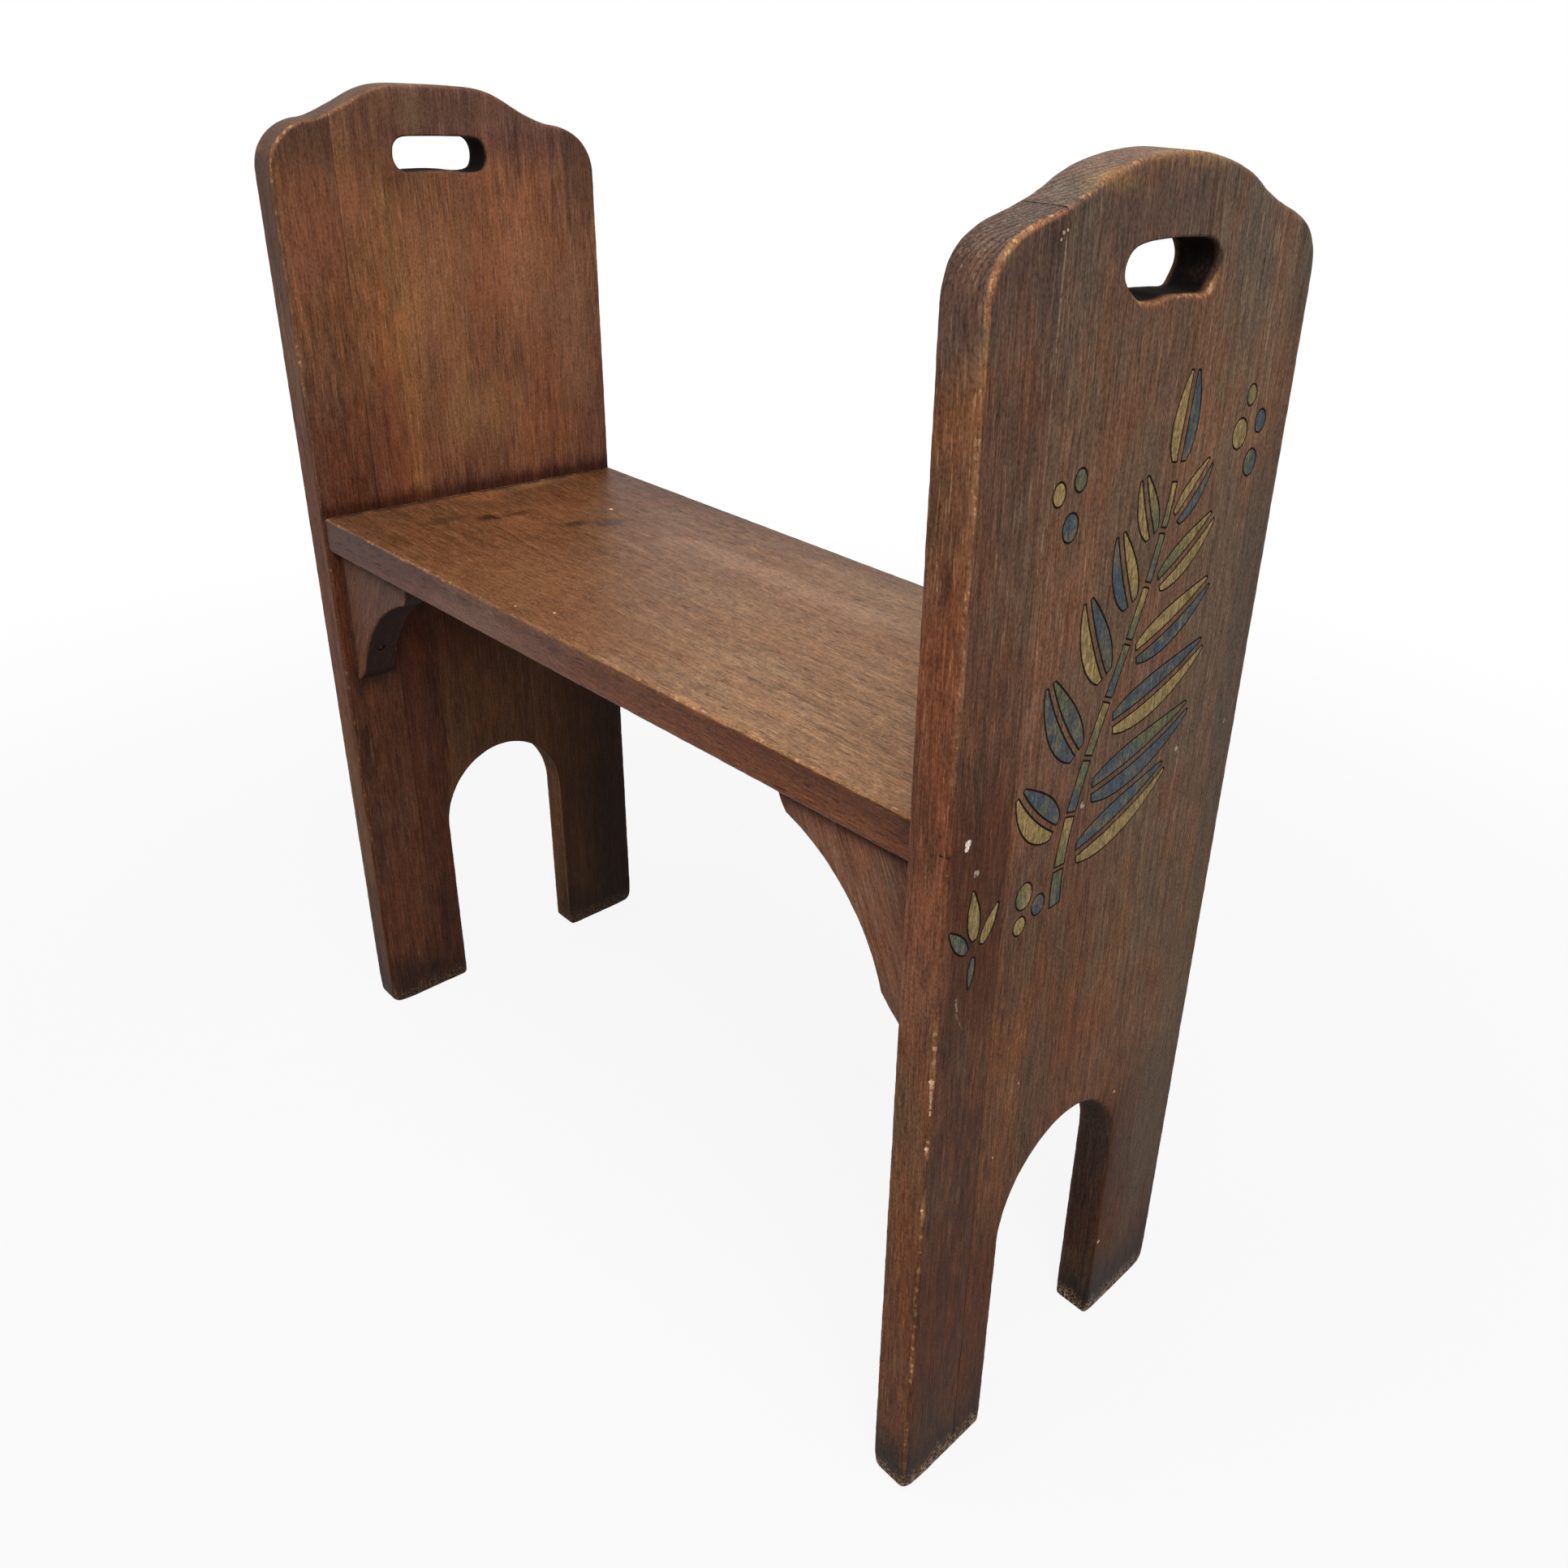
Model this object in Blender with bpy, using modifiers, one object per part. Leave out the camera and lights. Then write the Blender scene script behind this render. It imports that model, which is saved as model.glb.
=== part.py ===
"""A wooden bench with slab ends, in metres, with +Z up.

Each end panel is glued up from a narrow front board and a wide main board. Its top is a shaped crest
with a hand slot, and an arch at its foot leaves two legs. The seat board is butted between the panels,
nailed through them into its end grain, and carried on four shaped brackets.
The origin is on the floor under the middle of the bench, and the front faces -Y.
"""

import math

import bmesh
import bpy
from mathutils import Vector
from mathutils.geometry import interpolate_bezier

# Whole bench
bench_length = 0.628
bench_depth = 0.240
crest_height = 0.713
seat_height = 0.430

# Clearance between pieces that touch, how far a cutter runs past what it cuts, and what welds together
seat_gap = 0.0003
overrun = 0.010
weld_distance = 0.00001

# End panels
panel_thickness = 0.025
front_board_width = 0.042
panel_arris = 0.0025

# Crest: a hump that falls in an ogee to a sloping shoulder and a round corner
hump_reach = 0.026
ogee_offset = 0.0605
ogee_drop = 0.0122
ogee_fall = math.radians(29)
ogee_reach = 0.012
shoulder_inset = 0.029
shoulder_drop = 0.0238
shoulder_fall = math.radians(15)
shoulder_reach = 0.010
corner_reach = 0.017
side_drop = 0.056
side_reach = 0.021

# Hand slot under the crest, its top edge bowed
slot_length = 0.075
slot_height = 0.0235
slot_drop = 0.0317
slot_bow = 0.0028
slot_end = 0.0110

# Arch between the legs, and the rounded corners of the feet
arch_width = 0.106
arch_height = 0.2095
arch_rise = 0.060
foot_corner = 0.0075
arch_foot_corner = 0.0040

# Seat board: its back edge is flush with the panels, and its front edge runs in towards the right
seat_thickness = 0.0245
seat_inset_left = 0.0015
seat_inset_right = 0.0130
seat_arris = 0.0020

# Brackets under the seat: a hollow curve between two slanted noses, each side sawn to its own shape
bracket_thickness = 0.0245
bracket_arris = 0.0012
nose_swell = 0.0010
bracket_shapes = {
    "left": {
        "setback": 0.0070,
        "reach": 0.0980,
        "drop": 0.1030,
        "tip_slant": 0.0088,
        "tip_rise": 0.0167,
        "toe_slant": 0.0128,
        "toe_rise": 0.0121,
        "hollow": 0.0122,
    },
    "right": {
        "setback": 0.0035,
        "reach": 0.1070,
        "drop": 0.1080,
        "tip_slant": 0.0072,
        "tip_rise": 0.0135,
        "toe_slant": 0.0271,
        "toe_rise": 0.0222,
        "hollow": 0.0129,
    },
}

# Nails: the seat's are driven through the panels and stopped with putty, the brackets' are left bare
seat_nail_length = 0.050
bracket_nail_length = 0.032
nail_diameter = 0.0028
nail_head_diameter = 0.0040
nail_head_height = 0.0012
nail_point = 0.0040
seat_nail_shares = (-0.415, -0.09, 0.249, 0.45)
seat_nail_drop_shares = (0.69, 0.45, 0.29, 0.24)
bracket_nail_offset = 0.073
putty_depth = 0.0020
putty_recess = 0.0002
bracket_nail_punch = 0.0030

# How finely curves are faceted, and the angle at which a crease stays sharp
crest_steps = 7
corner_steps = 4
arch_steps = 14
bracket_steps = 16
nose_steps = 3
nail_sides = 12
board_crease = math.radians(20)
nail_crease = math.radians(40)

# Derived places
side_y = bench_depth / 2
panel_x = bench_length / 2 - panel_thickness / 2
inner_x = bench_length / 2 - panel_thickness
seam_y = front_board_width - side_y
seat_underside = seat_height - seat_thickness

# Wood tones as linear colours, with roughness
panel_tone = (0.105, 0.052, 0.032, 1.0)
seat_tone = (0.190, 0.105, 0.058, 1.0)
bracket_tone = (0.110, 0.048, 0.030, 1.0)
iron_tone = (0.120, 0.110, 0.105, 1.0)
putty_tone = (0.330, 0.230, 0.170, 1.0)


def clear_scene():
    for obj in list(bpy.data.objects):
        bpy.data.objects.remove(obj, do_unlink=True)


def new_collection(name):
    collection = bpy.data.collections.new(name)
    bpy.context.scene.collection.children.link(collection)
    return collection


def new_material(name, tone, roughness, metallic):
    material = bpy.data.materials.new(name)
    material.use_nodes = True
    shader = material.node_tree.nodes["Principled BSDF"]
    shader.inputs["Base Color"].default_value = tone
    shader.inputs["Roughness"].default_value = roughness
    shader.inputs["Metallic"].default_value = metallic
    material.diffuse_color = tone
    return material


def bezier(start, start_handle, end_handle, end, steps):
    """Points on a Bezier curve, the first left out."""
    corners = [Vector(point).to_3d() for point in (start, start_handle, end_handle, end)]
    return [point.to_2d() for point in interpolate_bezier(*corners, steps + 1)][1:]


def quarter(centre, across, up, first_turn, last_turn, steps):
    """Points on an ellipse from one angle to another, in radians."""
    turns = [first_turn + (last_turn - first_turn) * step / steps for step in range(steps + 1)]
    return [Vector((centre[0] + across * math.cos(t), centre[1] + up * math.sin(t))) for t in turns]


def bowed(start, end, swell, steps):
    """Points on a circular arc that bulges by swell to the left of its chord, the first left out."""
    start, end = Vector(start), Vector(end)
    chord = end - start
    radius = (chord.length ** 2 / 4 + swell ** 2) / (2 * abs(swell))
    left = Vector((-chord.y, chord.x)).normalized() * math.copysign(1, swell)
    centre = (start + end) / 2 + left * (abs(swell) - radius)
    half_turn = math.asin(chord.length / 2 / radius)
    points = []
    for step in range(1, steps + 1):
        turn = half_turn * (2 * step / steps - 1)
        along = chord.normalized() * radius * math.sin(turn)
        points.append(centre + along + left * radius * math.cos(turn))
    return points


def mirrored(half):
    """A closed outline from its half, whose first and last points lie on the mirror line."""
    return half + [Vector((-point.x, point.y)) for point in reversed(half[1:-1])]


def panel_outline():
    """The panel seen square on: across the bench, then up. Crest, side, foot, arch."""
    crest = Vector((0, crest_height))
    ogee = Vector((ogee_offset, crest_height - ogee_drop))
    shoulder = Vector((side_y - shoulder_inset, crest_height - shoulder_drop))
    side = Vector((side_y, crest_height - side_drop))
    ogee_run = Vector((math.cos(ogee_fall), -math.sin(ogee_fall))) * ogee_reach
    shoulder_run = Vector((math.cos(shoulder_fall), -math.sin(shoulder_fall)))
    half = [crest]
    half += bezier(crest, crest + Vector((hump_reach, 0)), ogee - ogee_run, ogee, crest_steps)
    half += bezier(ogee, ogee + ogee_run, shoulder - shoulder_run * shoulder_reach, shoulder, corner_steps)
    corner_handle = shoulder + shoulder_run * corner_reach
    half += bezier(shoulder, corner_handle, side + Vector((0, side_reach)), side, crest_steps)
    outer = (side_y - foot_corner, foot_corner)
    half += quarter(outer, foot_corner, foot_corner, 0, -math.pi / 2, corner_steps)
    inner = (arch_width / 2 + arch_foot_corner, arch_foot_corner)
    half += quarter(inner, arch_foot_corner, arch_foot_corner, -math.pi / 2, -math.pi, corner_steps)
    spring = (0, arch_height - arch_rise)
    half += quarter(spring, arch_width / 2, arch_rise, 0, math.pi / 2, arch_steps)
    half[-1].x = 0
    return mirrored(half)


def slot_outline():
    """The hand slot, wound the other way from the panel's outline."""
    half_length = slot_length / 2
    top = crest_height - slot_drop
    middle = Vector((half_length, top - slot_height / 2))
    end_top = Vector((half_length - slot_end, top - slot_bow))
    end_bottom = Vector((half_length - slot_end, top - slot_height))
    bow = Vector((end_top.x / 2, 0))
    round_over = slot_end / 2
    half = [Vector((0, top))]
    half += bezier(half[0], half[0] + bow, end_top - bow / 2 + Vector((0, slot_bow / 4)), end_top, corner_steps)
    end_handle = middle + Vector((0, round_over))
    half += bezier(end_top, end_top + Vector((round_over, -slot_bow / 3)), end_handle, middle, corner_steps)
    end_handle = end_bottom + Vector((round_over, 0))
    half += bezier(middle, middle - Vector((0, round_over)), end_handle, end_bottom, corner_steps)
    half.append(Vector((0, top - slot_height)))
    return list(reversed(mirrored(half)))


def bracket_outline(shape):
    """A bracket seen from the front: away from the panel, then up, with its corner at (0, 0)."""
    tip = Vector((shape["reach"], 0))
    toe = Vector((0, -shape["drop"]))
    hollow_start = tip + Vector((-shape["tip_slant"], -shape["tip_rise"]))
    hollow_end = toe + Vector((shape["toe_slant"], shape["toe_rise"]))
    outline = [Vector((0, 0)), tip]
    outline += bowed(tip, hollow_start, nose_swell, nose_steps)
    outline += bowed(hollow_start, hollow_end, -shape["hollow"], bracket_steps)
    outline += bowed(hollow_end, toe, nose_swell, nose_steps)
    return outline


def wood_depth(shape, offset, leg):
    """How deep the bracket's wood is at an offset along leg 0, on the seat, or leg 1, on the panel."""
    outline = [(point.x, -point.y) for point in bracket_outline(shape)[1:]]
    for start, end in zip(outline, outline[1:]):
        low, high = sorted((start[leg], end[leg]))
        if low <= offset <= high:
            share = (offset - start[leg]) / (end[leg] - start[leg])
            return start[1 - leg] + (end[1 - leg] - start[1 - leg]) * share
    return nail_head_height


def evaluated_mesh(obj, crease):
    """The object as one welded mesh, smooth up to the crease angle. The object itself is removed."""
    graph = bpy.context.evaluated_depsgraph_get()
    mesh = bpy.data.meshes.new_from_object(obj.evaluated_get(graph))
    mesh.name = obj.name
    bpy.data.objects.remove(obj, do_unlink=True)
    work = bmesh.new()
    work.from_mesh(mesh)
    bmesh.ops.remove_doubles(work, verts=work.verts, dist=weld_distance)
    bmesh.ops.recalc_face_normals(work, faces=work.faces)
    work.to_mesh(mesh)
    work.free()
    mesh.shade_smooth()
    mesh.set_sharp_from_angle(angle=crease)
    return mesh


def flat_mesh(name, outlines, thickness, arris):
    """A board cut to closed outlines, as one welded mesh, its edges rounded by arris."""
    curve = bpy.data.curves.new(name, "CURVE")
    curve.dimensions = "2D"
    curve.fill_mode = "BOTH"
    curve.extrude = thickness / 2 - arris
    curve.bevel_depth = arris
    curve.bevel_resolution = 1
    curve.offset = -arris
    for outline in outlines:
        spline = curve.splines.new("POLY")
        spline.points.add(len(outline) - 1)
        for point, place in zip(spline.points, outline):
            point.co = (place.x, place.y, 0, 1)
        spline.use_cyclic_u = True
    obj = bpy.data.objects.new(name, curve)
    cutters.objects.link(obj)
    return evaluated_mesh(obj, board_crease)


def box_mesh(name, low, high):
    """A box between two corners, made from a unit cube."""
    mesh = bpy.data.meshes.new(name)
    work = bmesh.new()
    bmesh.ops.create_cube(work, size=1)
    low, high = Vector(low), Vector(high)
    bmesh.ops.scale(work, vec=high - low, verts=work.verts)
    bmesh.ops.translate(work, vec=(low + high) / 2, verts=work.verts)
    work.to_mesh(mesh)
    work.free()
    return mesh


def turned_mesh(name, profile):
    """A solid turned about its local Z, from (radius, height) points that run down its outer side."""
    line = bpy.data.meshes.new(name)
    edges = [(index, index + 1) for index in range(len(profile) - 1)]
    line.from_pydata([(radius, 0, height) for radius, height in profile], edges, [])
    obj = bpy.data.objects.new(name, line)
    cutters.objects.link(obj)
    screw = obj.modifiers.new("turn", "SCREW")
    screw.steps = nail_sides
    screw.render_steps = nail_sides
    screw.use_merge_vertices = True
    screw.merge_threshold = weld_distance
    return evaluated_mesh(obj, nail_crease)


def nail_profile(length):
    """The nail itself, its head's top at height 0."""
    head, shank = nail_head_diameter / 2, nail_diameter / 2
    return [
        (0, 0),
        (head, 0),
        (head, -nail_head_height),
        (shank, -nail_head_height),
        (shank, nail_point - length),
        (0, -length),
    ]


def hole_profile(length):
    """The hole that the nail leaves, wider by the gap, and open above the head."""
    head, shank = nail_head_diameter / 2 + seat_gap, nail_diameter / 2 + seat_gap
    step = -nail_head_height - seat_gap
    return [
        (0, overrun),
        (head, overrun),
        (head, step),
        (shank, step),
        (shank, nail_point - length - seat_gap),
        (0, -length - 2 * seat_gap),
    ]


def putty_profile():
    """The putty over a sunk nail: it starts a gap above the head and ends just under the face."""
    radius = nail_head_diameter / 2
    return [
        (0, putty_depth - putty_recess),
        (radius, putty_depth - putty_recess),
        (radius, seat_gap),
        (0, seat_gap),
    ]


def add_piece(name, mesh, material):
    obj = bpy.data.objects.new(name, mesh)
    mesh.materials.clear()
    mesh.materials.append(material)
    bench.objects.link(obj)
    return obj


def add_cutter(name, mesh, collection):
    obj = bpy.data.objects.new(name, mesh)
    collection.objects.link(obj)
    obj.hide_render = True
    obj.display_type = "WIRE"
    return obj


def place(obj, location, rotation):
    obj.location = location
    obj.rotation_euler = rotation


def cut(obj, cutter, operation):
    """A Boolean with one object, or with every object in a collection."""
    modifier = obj.modifiers.new(operation.lower(), "BOOLEAN")
    modifier.operation = operation
    modifier.solver = "EXACT"
    if isinstance(cutter, bpy.types.Collection):
        modifier.operand_type = "COLLECTION"
        modifier.collection = cutter
    else:
        modifier.object = cutter


def add_nail(name, kind, location, rotation):
    """A nail and the hole that it takes through whatever it meets."""
    place(add_piece(name, nail_meshes[kind], iron), location, rotation)
    place(add_cutter(name + "_hole", hole_meshes[kind], nail_holes), location, rotation)


def add_end_panel(side, sign):
    """The two boards of an end panel, cut from one shaped slab along the glue line."""
    slab = flat_mesh(side + "_panel", [panel_outline(), slot_outline()], panel_thickness, panel_arris)
    upright = (math.pi / 2, 0, math.pi / 2)
    reach = crest_height + overrun
    far = side_y + overrun
    strips = {
        "front_board": (-far, seam_y - seat_gap / 2),
        "main_board": (seam_y + seat_gap / 2, far),
    }
    for board, (low_y, high_y) in strips.items():
        piece = add_piece(f"{side}_{board}", slab.copy(), panel_wood)
        place(piece, (sign * panel_x, 0, 0), upright)
        half = panel_thickness / 2 + overrun
        strip = box_mesh(f"{side}_{board}_strip", (low_y, -overrun, -half), (high_y, reach, half))
        cutter = add_cutter(strip.name, strip, cutters)
        place(cutter, (sign * panel_x, 0, 0), upright)
        cut(piece, cutter, "INTERSECT")
        cut(piece, nail_holes, "DIFFERENCE")


def seat_front(x):
    """Where the seat's front edge lies at this place along the bench."""
    share = (x + inner_x) / (2 * inner_x)
    return seat_inset_left + (seat_inset_right - seat_inset_left) * share - side_y


def add_seat():
    """The seat board, its long edges eased and its ends square against the panels."""
    half_length = inner_x - seat_gap
    low = (-half_length, -side_y, seat_underside)
    high = (half_length, side_y, seat_height)
    mesh = box_mesh("seat_board", low, high)
    work = bmesh.new()
    work.from_mesh(mesh)
    for vert in work.verts:
        if vert.co.y < 0:
            vert.co.y = seat_front(vert.co.x)
    weight = work.edges.layers.float.new("bevel_weight_edge")
    for edge in work.edges:
        across = edge.verts[0].co - edge.verts[1].co
        edge[weight] = float(abs(across.x) > half_length)
    work.to_mesh(mesh)
    work.free()
    seat = add_piece("seat_board", mesh, seat_wood)
    ease = seat.modifiers.new("eased edges", "BEVEL")
    ease.limit_method = "WEIGHT"
    ease.width = seat_arris
    ease.segments = 3
    cut(seat, nail_holes, "DIFFERENCE")


def add_bracket(side, sign, end, facing):
    """A bracket in the corner of the seat and a panel, with its two nails."""
    shape = bracket_shapes[side]
    mesh = flat_mesh(f"{side}_{end}_bracket", [bracket_outline(shape)], bracket_thickness, bracket_arris)
    bracket = add_piece(f"{side}_{end}_bracket", mesh, bracket_wood)
    seat_edge = -seat_front(sign * inner_x) if facing < 0 else side_y
    middle = facing * (seat_edge - shape["setback"] - bracket_thickness / 2)
    corner = Vector((sign * (inner_x - seat_gap), middle, seat_underside - seat_gap))
    # The outline's reach runs along local X, so the right bracket is turned round to face inwards.
    turn = math.pi if sign > 0 else 0
    place(bracket, corner, (math.pi / 2, 0, turn))
    cut(bracket, nail_holes, "DIFFERENCE")

    depth = wood_depth(shape, bracket_nail_offset, 0) - bracket_nail_punch
    up = corner + Vector((-sign * bracket_nail_offset, 0, -depth))
    add_nail(f"{side}_{end}_bracket_seat_nail", "bracket", up, (math.pi, 0, 0))
    depth = wood_depth(shape, bracket_nail_offset, 1) - bracket_nail_punch
    sideways = corner + Vector((-sign * depth, 0, -bracket_nail_offset))
    inwards = (0, -sign * math.pi / 2, 0)
    add_nail(f"{side}_{end}_bracket_panel_nail", "bracket", sideways, inwards)


def add_seat_nails(side, sign):
    """The nails through a panel into the seat's end, each under its own putty."""
    outwards = (0, sign * math.pi / 2, 0)
    head_x = sign * (bench_length / 2 - putty_depth)
    nails = zip(seat_nail_shares, seat_nail_drop_shares)
    for number, (share, drop_share) in enumerate(nails, start=1):
        location = (head_x, share * bench_depth, seat_height - drop_share * seat_thickness)
        add_nail(f"{side}_seat_nail_{number}", "seat", location, outwards)
        place(add_piece(f"{side}_putty_{number}", putty_mesh, putty), location, outwards)


clear_scene()
bench = new_collection("slab_ended_bench")
cutters = new_collection("cutters")
nail_holes = bpy.data.collections.new("nail_holes")
cutters.children.link(nail_holes)
panel_wood = new_material("panel_wood", panel_tone, 0.55, 0.0)
seat_wood = new_material("seat_wood", seat_tone, 0.40, 0.0)
bracket_wood = new_material("bracket_wood", bracket_tone, 0.55, 0.0)
iron = new_material("nail_iron", iron_tone, 0.45, 1.0)
putty = new_material("putty", putty_tone, 0.80, 0.0)

nail_lengths = {"seat": seat_nail_length, "bracket": bracket_nail_length}
nail_meshes = {}
hole_meshes = {}
for kind, length in nail_lengths.items():
    nail_meshes[kind] = turned_mesh(kind + "_nail", nail_profile(length))
    hole_meshes[kind] = turned_mesh(kind + "_nail_hole", hole_profile(length))
putty_mesh = turned_mesh("putty", putty_profile())

add_seat()
for side, sign in (("left", -1), ("right", 1)):
    add_end_panel(side, sign)
    add_seat_nails(side, sign)
    for end, facing in (("front", -1), ("back", 1)):
        add_bracket(side, sign, end, facing)
bpy.context.view_layer.update()
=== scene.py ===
import math

import bpy
import numpy as np
from mathutils import Matrix, Vector
from mathutils.geometry import delaunay_2d_cdt


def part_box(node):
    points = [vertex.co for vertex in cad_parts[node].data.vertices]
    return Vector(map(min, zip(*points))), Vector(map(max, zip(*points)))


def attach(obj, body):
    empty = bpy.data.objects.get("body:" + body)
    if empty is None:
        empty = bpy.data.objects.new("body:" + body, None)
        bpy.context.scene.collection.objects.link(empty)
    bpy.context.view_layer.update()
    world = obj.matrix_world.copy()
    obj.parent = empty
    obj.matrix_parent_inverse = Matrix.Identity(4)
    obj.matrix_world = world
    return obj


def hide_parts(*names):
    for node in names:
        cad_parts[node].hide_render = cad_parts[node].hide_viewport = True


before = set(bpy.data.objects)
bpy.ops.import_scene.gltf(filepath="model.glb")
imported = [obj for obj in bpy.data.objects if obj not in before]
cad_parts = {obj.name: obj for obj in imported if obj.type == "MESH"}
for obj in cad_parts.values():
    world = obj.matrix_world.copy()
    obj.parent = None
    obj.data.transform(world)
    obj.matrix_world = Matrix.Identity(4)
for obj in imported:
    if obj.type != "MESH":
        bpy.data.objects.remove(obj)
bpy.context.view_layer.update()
print("frame loaded:", len(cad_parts), "nodes")

millimetre = 0.001


def tone(red, green, blue):
    # a screen colour of 0 to 255 as the linear colour that shaders use
    shares = np.array([red, green, blue]) / 255
    linear = np.where(shares <= 0.04045, shares / 12.92, ((shares + 0.055) / 1.055) ** 2.4)
    return (*linear.tolist(), 1.0)


def smoothStep(low, high, values):
    # 3t^2 - 2t^3 of the share t of the way from low to high
    share = np.clip((values - low) / (high - low), 0, 1)
    return share * share * (3 - 2 * share)


def waves(places, length, sizes, seed):
    # sum over i of sin(2 pi (k_i s / length + p_i)) / count, with whole counts k_i so that a loop closes
    dice = np.random.default_rng(seed)
    total = np.zeros(len(places))
    for size in sizes:
        turns = max(1, round(length / size))
        total += np.sin(2 * np.pi * (turns * places / length + dice.random()))
    return total / len(sizes)


def ripples(points, size, seed):
    # mean of sines of the plane in six directions, each with a wavelength near size
    dice = np.random.default_rng(seed)
    angles = dice.random(6) * 2 * np.pi
    lengths = size * (0.7 + 0.8 * dice.random(6))
    along = points[:, :1] * np.cos(angles) + points[:, 1:2] * np.sin(angles)
    return np.sin(2 * np.pi * (along / lengths + dice.random(6))).mean(axis=1)


def bezier(corners, places=np.linspace(0, 1, 48)):
    # (1-t)^3 a + 3t(1-t)^2 b + 3t^2(1-t) c + t^3 d
    t = np.asarray(places, float)[:, None]
    a, b, c, d = (np.asarray(point, float) for point in corners)
    return (1 - t) ** 3 * a + 3 * t * (1 - t) ** 2 * b + 3 * t ** 2 * (1 - t) * c + t ** 3 * d


def arc(centre, across, up, first, last, count=48):
    # centre + (across cos t, up sin t), from the first to the last angle in degrees
    t = np.radians(np.linspace(first, last, count))
    return np.stack([centre[0] + across * np.cos(t), centre[1] + up * np.sin(t)], axis=1)


def bowed(start, end, swell, count=60):
    # an arc of a circle whose middle stands swell to the left of the chord from start to end
    start, end = np.asarray(start, float), np.asarray(end, float)
    chord = end - start
    length = np.hypot(*chord)
    radius = (length ** 2 / 4 + swell ** 2) / (2 * abs(swell))
    left = np.array([-chord[1], chord[0]]) / length * np.sign(swell)
    centre = (start + end) / 2 + left * (abs(swell) - radius)
    turn = np.linspace(-1, 1, count)[:, None] * math.asin(min(1, length / 2 / radius))
    return centre + chord / length * radius * np.sin(turn) + left * radius * np.cos(turn)


def evenly(points, step, margin=0.0):
    # the same curve at even running lengths, kept a margin clear of its two ends
    points = np.asarray(points, float)
    run = np.concatenate([[0], np.cumsum(np.hypot(*np.diff(points, axis=0).T))])
    margin = min(margin, run[-1] / 3)
    count = max(2, round((run[-1] - 2 * margin) / step) + 1)
    places = np.linspace(margin, run[-1] - margin, count)
    if margin:
        places = np.concatenate([[0], places, [run[-1]]])
    return np.stack([np.interp(places, run, points[:, axis]) for axis in (0, 1)], axis=1)


def signedArea(loop):
    # half the sum of cross products of neighbours, above 0 when the loop runs anticlockwise
    return 0.5 * np.sum(loop[:, 0] * np.roll(loop[:, 1], -1) - loop[:, 1] * np.roll(loop[:, 0], -1))


def segments(loops):
    # every loop's points, and the point that follows each on its loop
    return np.concatenate(loops), np.concatenate([np.roll(loop, -1, axis=0) for loop in loops])


def isInside(points, loop, batch=2000):
    # even-odd rule: a point is inside when a ray from it crosses the loop an odd number of times
    crossings = np.zeros(len(points), int)
    start, end = segments([loop])
    for low in range(0, len(points), batch):
        part = points[low:low + batch]
        x, y = part[:, :1], part[:, 1:]
        spans = (start[:, 1] > y) != (end[:, 1] > y)
        rise = np.where(end[:, 1] == start[:, 1], 1, end[:, 1] - start[:, 1])
        reach = start[:, 0] + (y - start[:, 1]) * (end[:, 0] - start[:, 0]) / rise
        crossings[low:low + batch] = (spans & (x < reach)).sum(axis=1)
    return crossings % 2 == 1


def distanceTo(points, start, end, limit=16.0, tile=20):
    # least distance from each point to any of the segments, |p - (s + clamp(t) (e - s))|, and which segment,
    # worked out by square tiles of the plane with the segments nearer than the limit
    least = np.full(len(points), limit)
    which = np.zeros(len(points), int)
    run = end - start
    square = np.maximum((run ** 2).sum(axis=1), 1e-12)
    low, high = np.minimum(start, end) - limit, np.maximum(start, end) + limit
    tiles = np.floor(points / tile).astype(int) @ np.array([1000, 1])      # column and row as one number
    order = np.argsort(tiles, kind="stable")
    for part in np.split(order, np.flatnonzero(np.diff(tiles[order])) + 1):
        here = points[part]
        near = np.flatnonzero(((high > here.min(axis=0)) & (low < here.max(axis=0))).all(axis=1))
        if len(near) and len(part):
            offset = here[:, None, :] - start[near]
            share = np.clip((offset * run[near]).sum(axis=2) / square[near], 0, 1)
            gaps = ((offset - share[..., None] * run[near]) ** 2).sum(axis=2)
            which[part] = near[gaps.argmin(axis=1)]
            least[part] = np.minimum(np.sqrt(gaps.min(axis=1)), limit)
    return least, which


# boards: an arris profile carried round an outline, with its two faces filled; sizes in mm
meshing = {
    "noArris": 99,                             # an arris radius above every real one
    "farFromRim": 40.0,                        # rim value where no wear is wanted
    "wallRim": 2.5 * math.pi / 4,              # rim value where an arris meets the wall, half an arris away
    "rimGap": 0.6, "lineGap": 1.3,             # least gaps from a free point to the rim, and to a groove or a well
    "insets": ((0.9, 2), (2.6, 3), (6.0, 5)),  # rows inside the rim, each with one point in 2, 3 or 5
    "shake": 0.25,                             # how far a face's grid points stray, as a share of its step
    "slowWaves": (90, 37, 19, 11), "fineWaves": (7, 5, 3.7), "fineShare": 0.4,      # of the arris radius
    "hollowWave": 85, "hollowEase": 12,        # the plane's hollows, and how far in from a rim they are full
    "faceRim": 2,                              # rim value that a face starts from, past its arris
    "contactDirtAndShade": 0.9, "contactReach": (0.5, 7),      # dirt and painted shade beside another board
    "wellRing": 22, "wellSteps": ((0.35, 0.95), (2.7, 0.93)),   # depths in a nail hole, with their share of its mouth
    "dentSlope": (0.86, 1.12), "dentLimit": 30,                 # shares of a dent's reach, and the furthest push
    "smoothAngle": 34,                         # degrees: a sharper edge stays sharp
}


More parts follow.
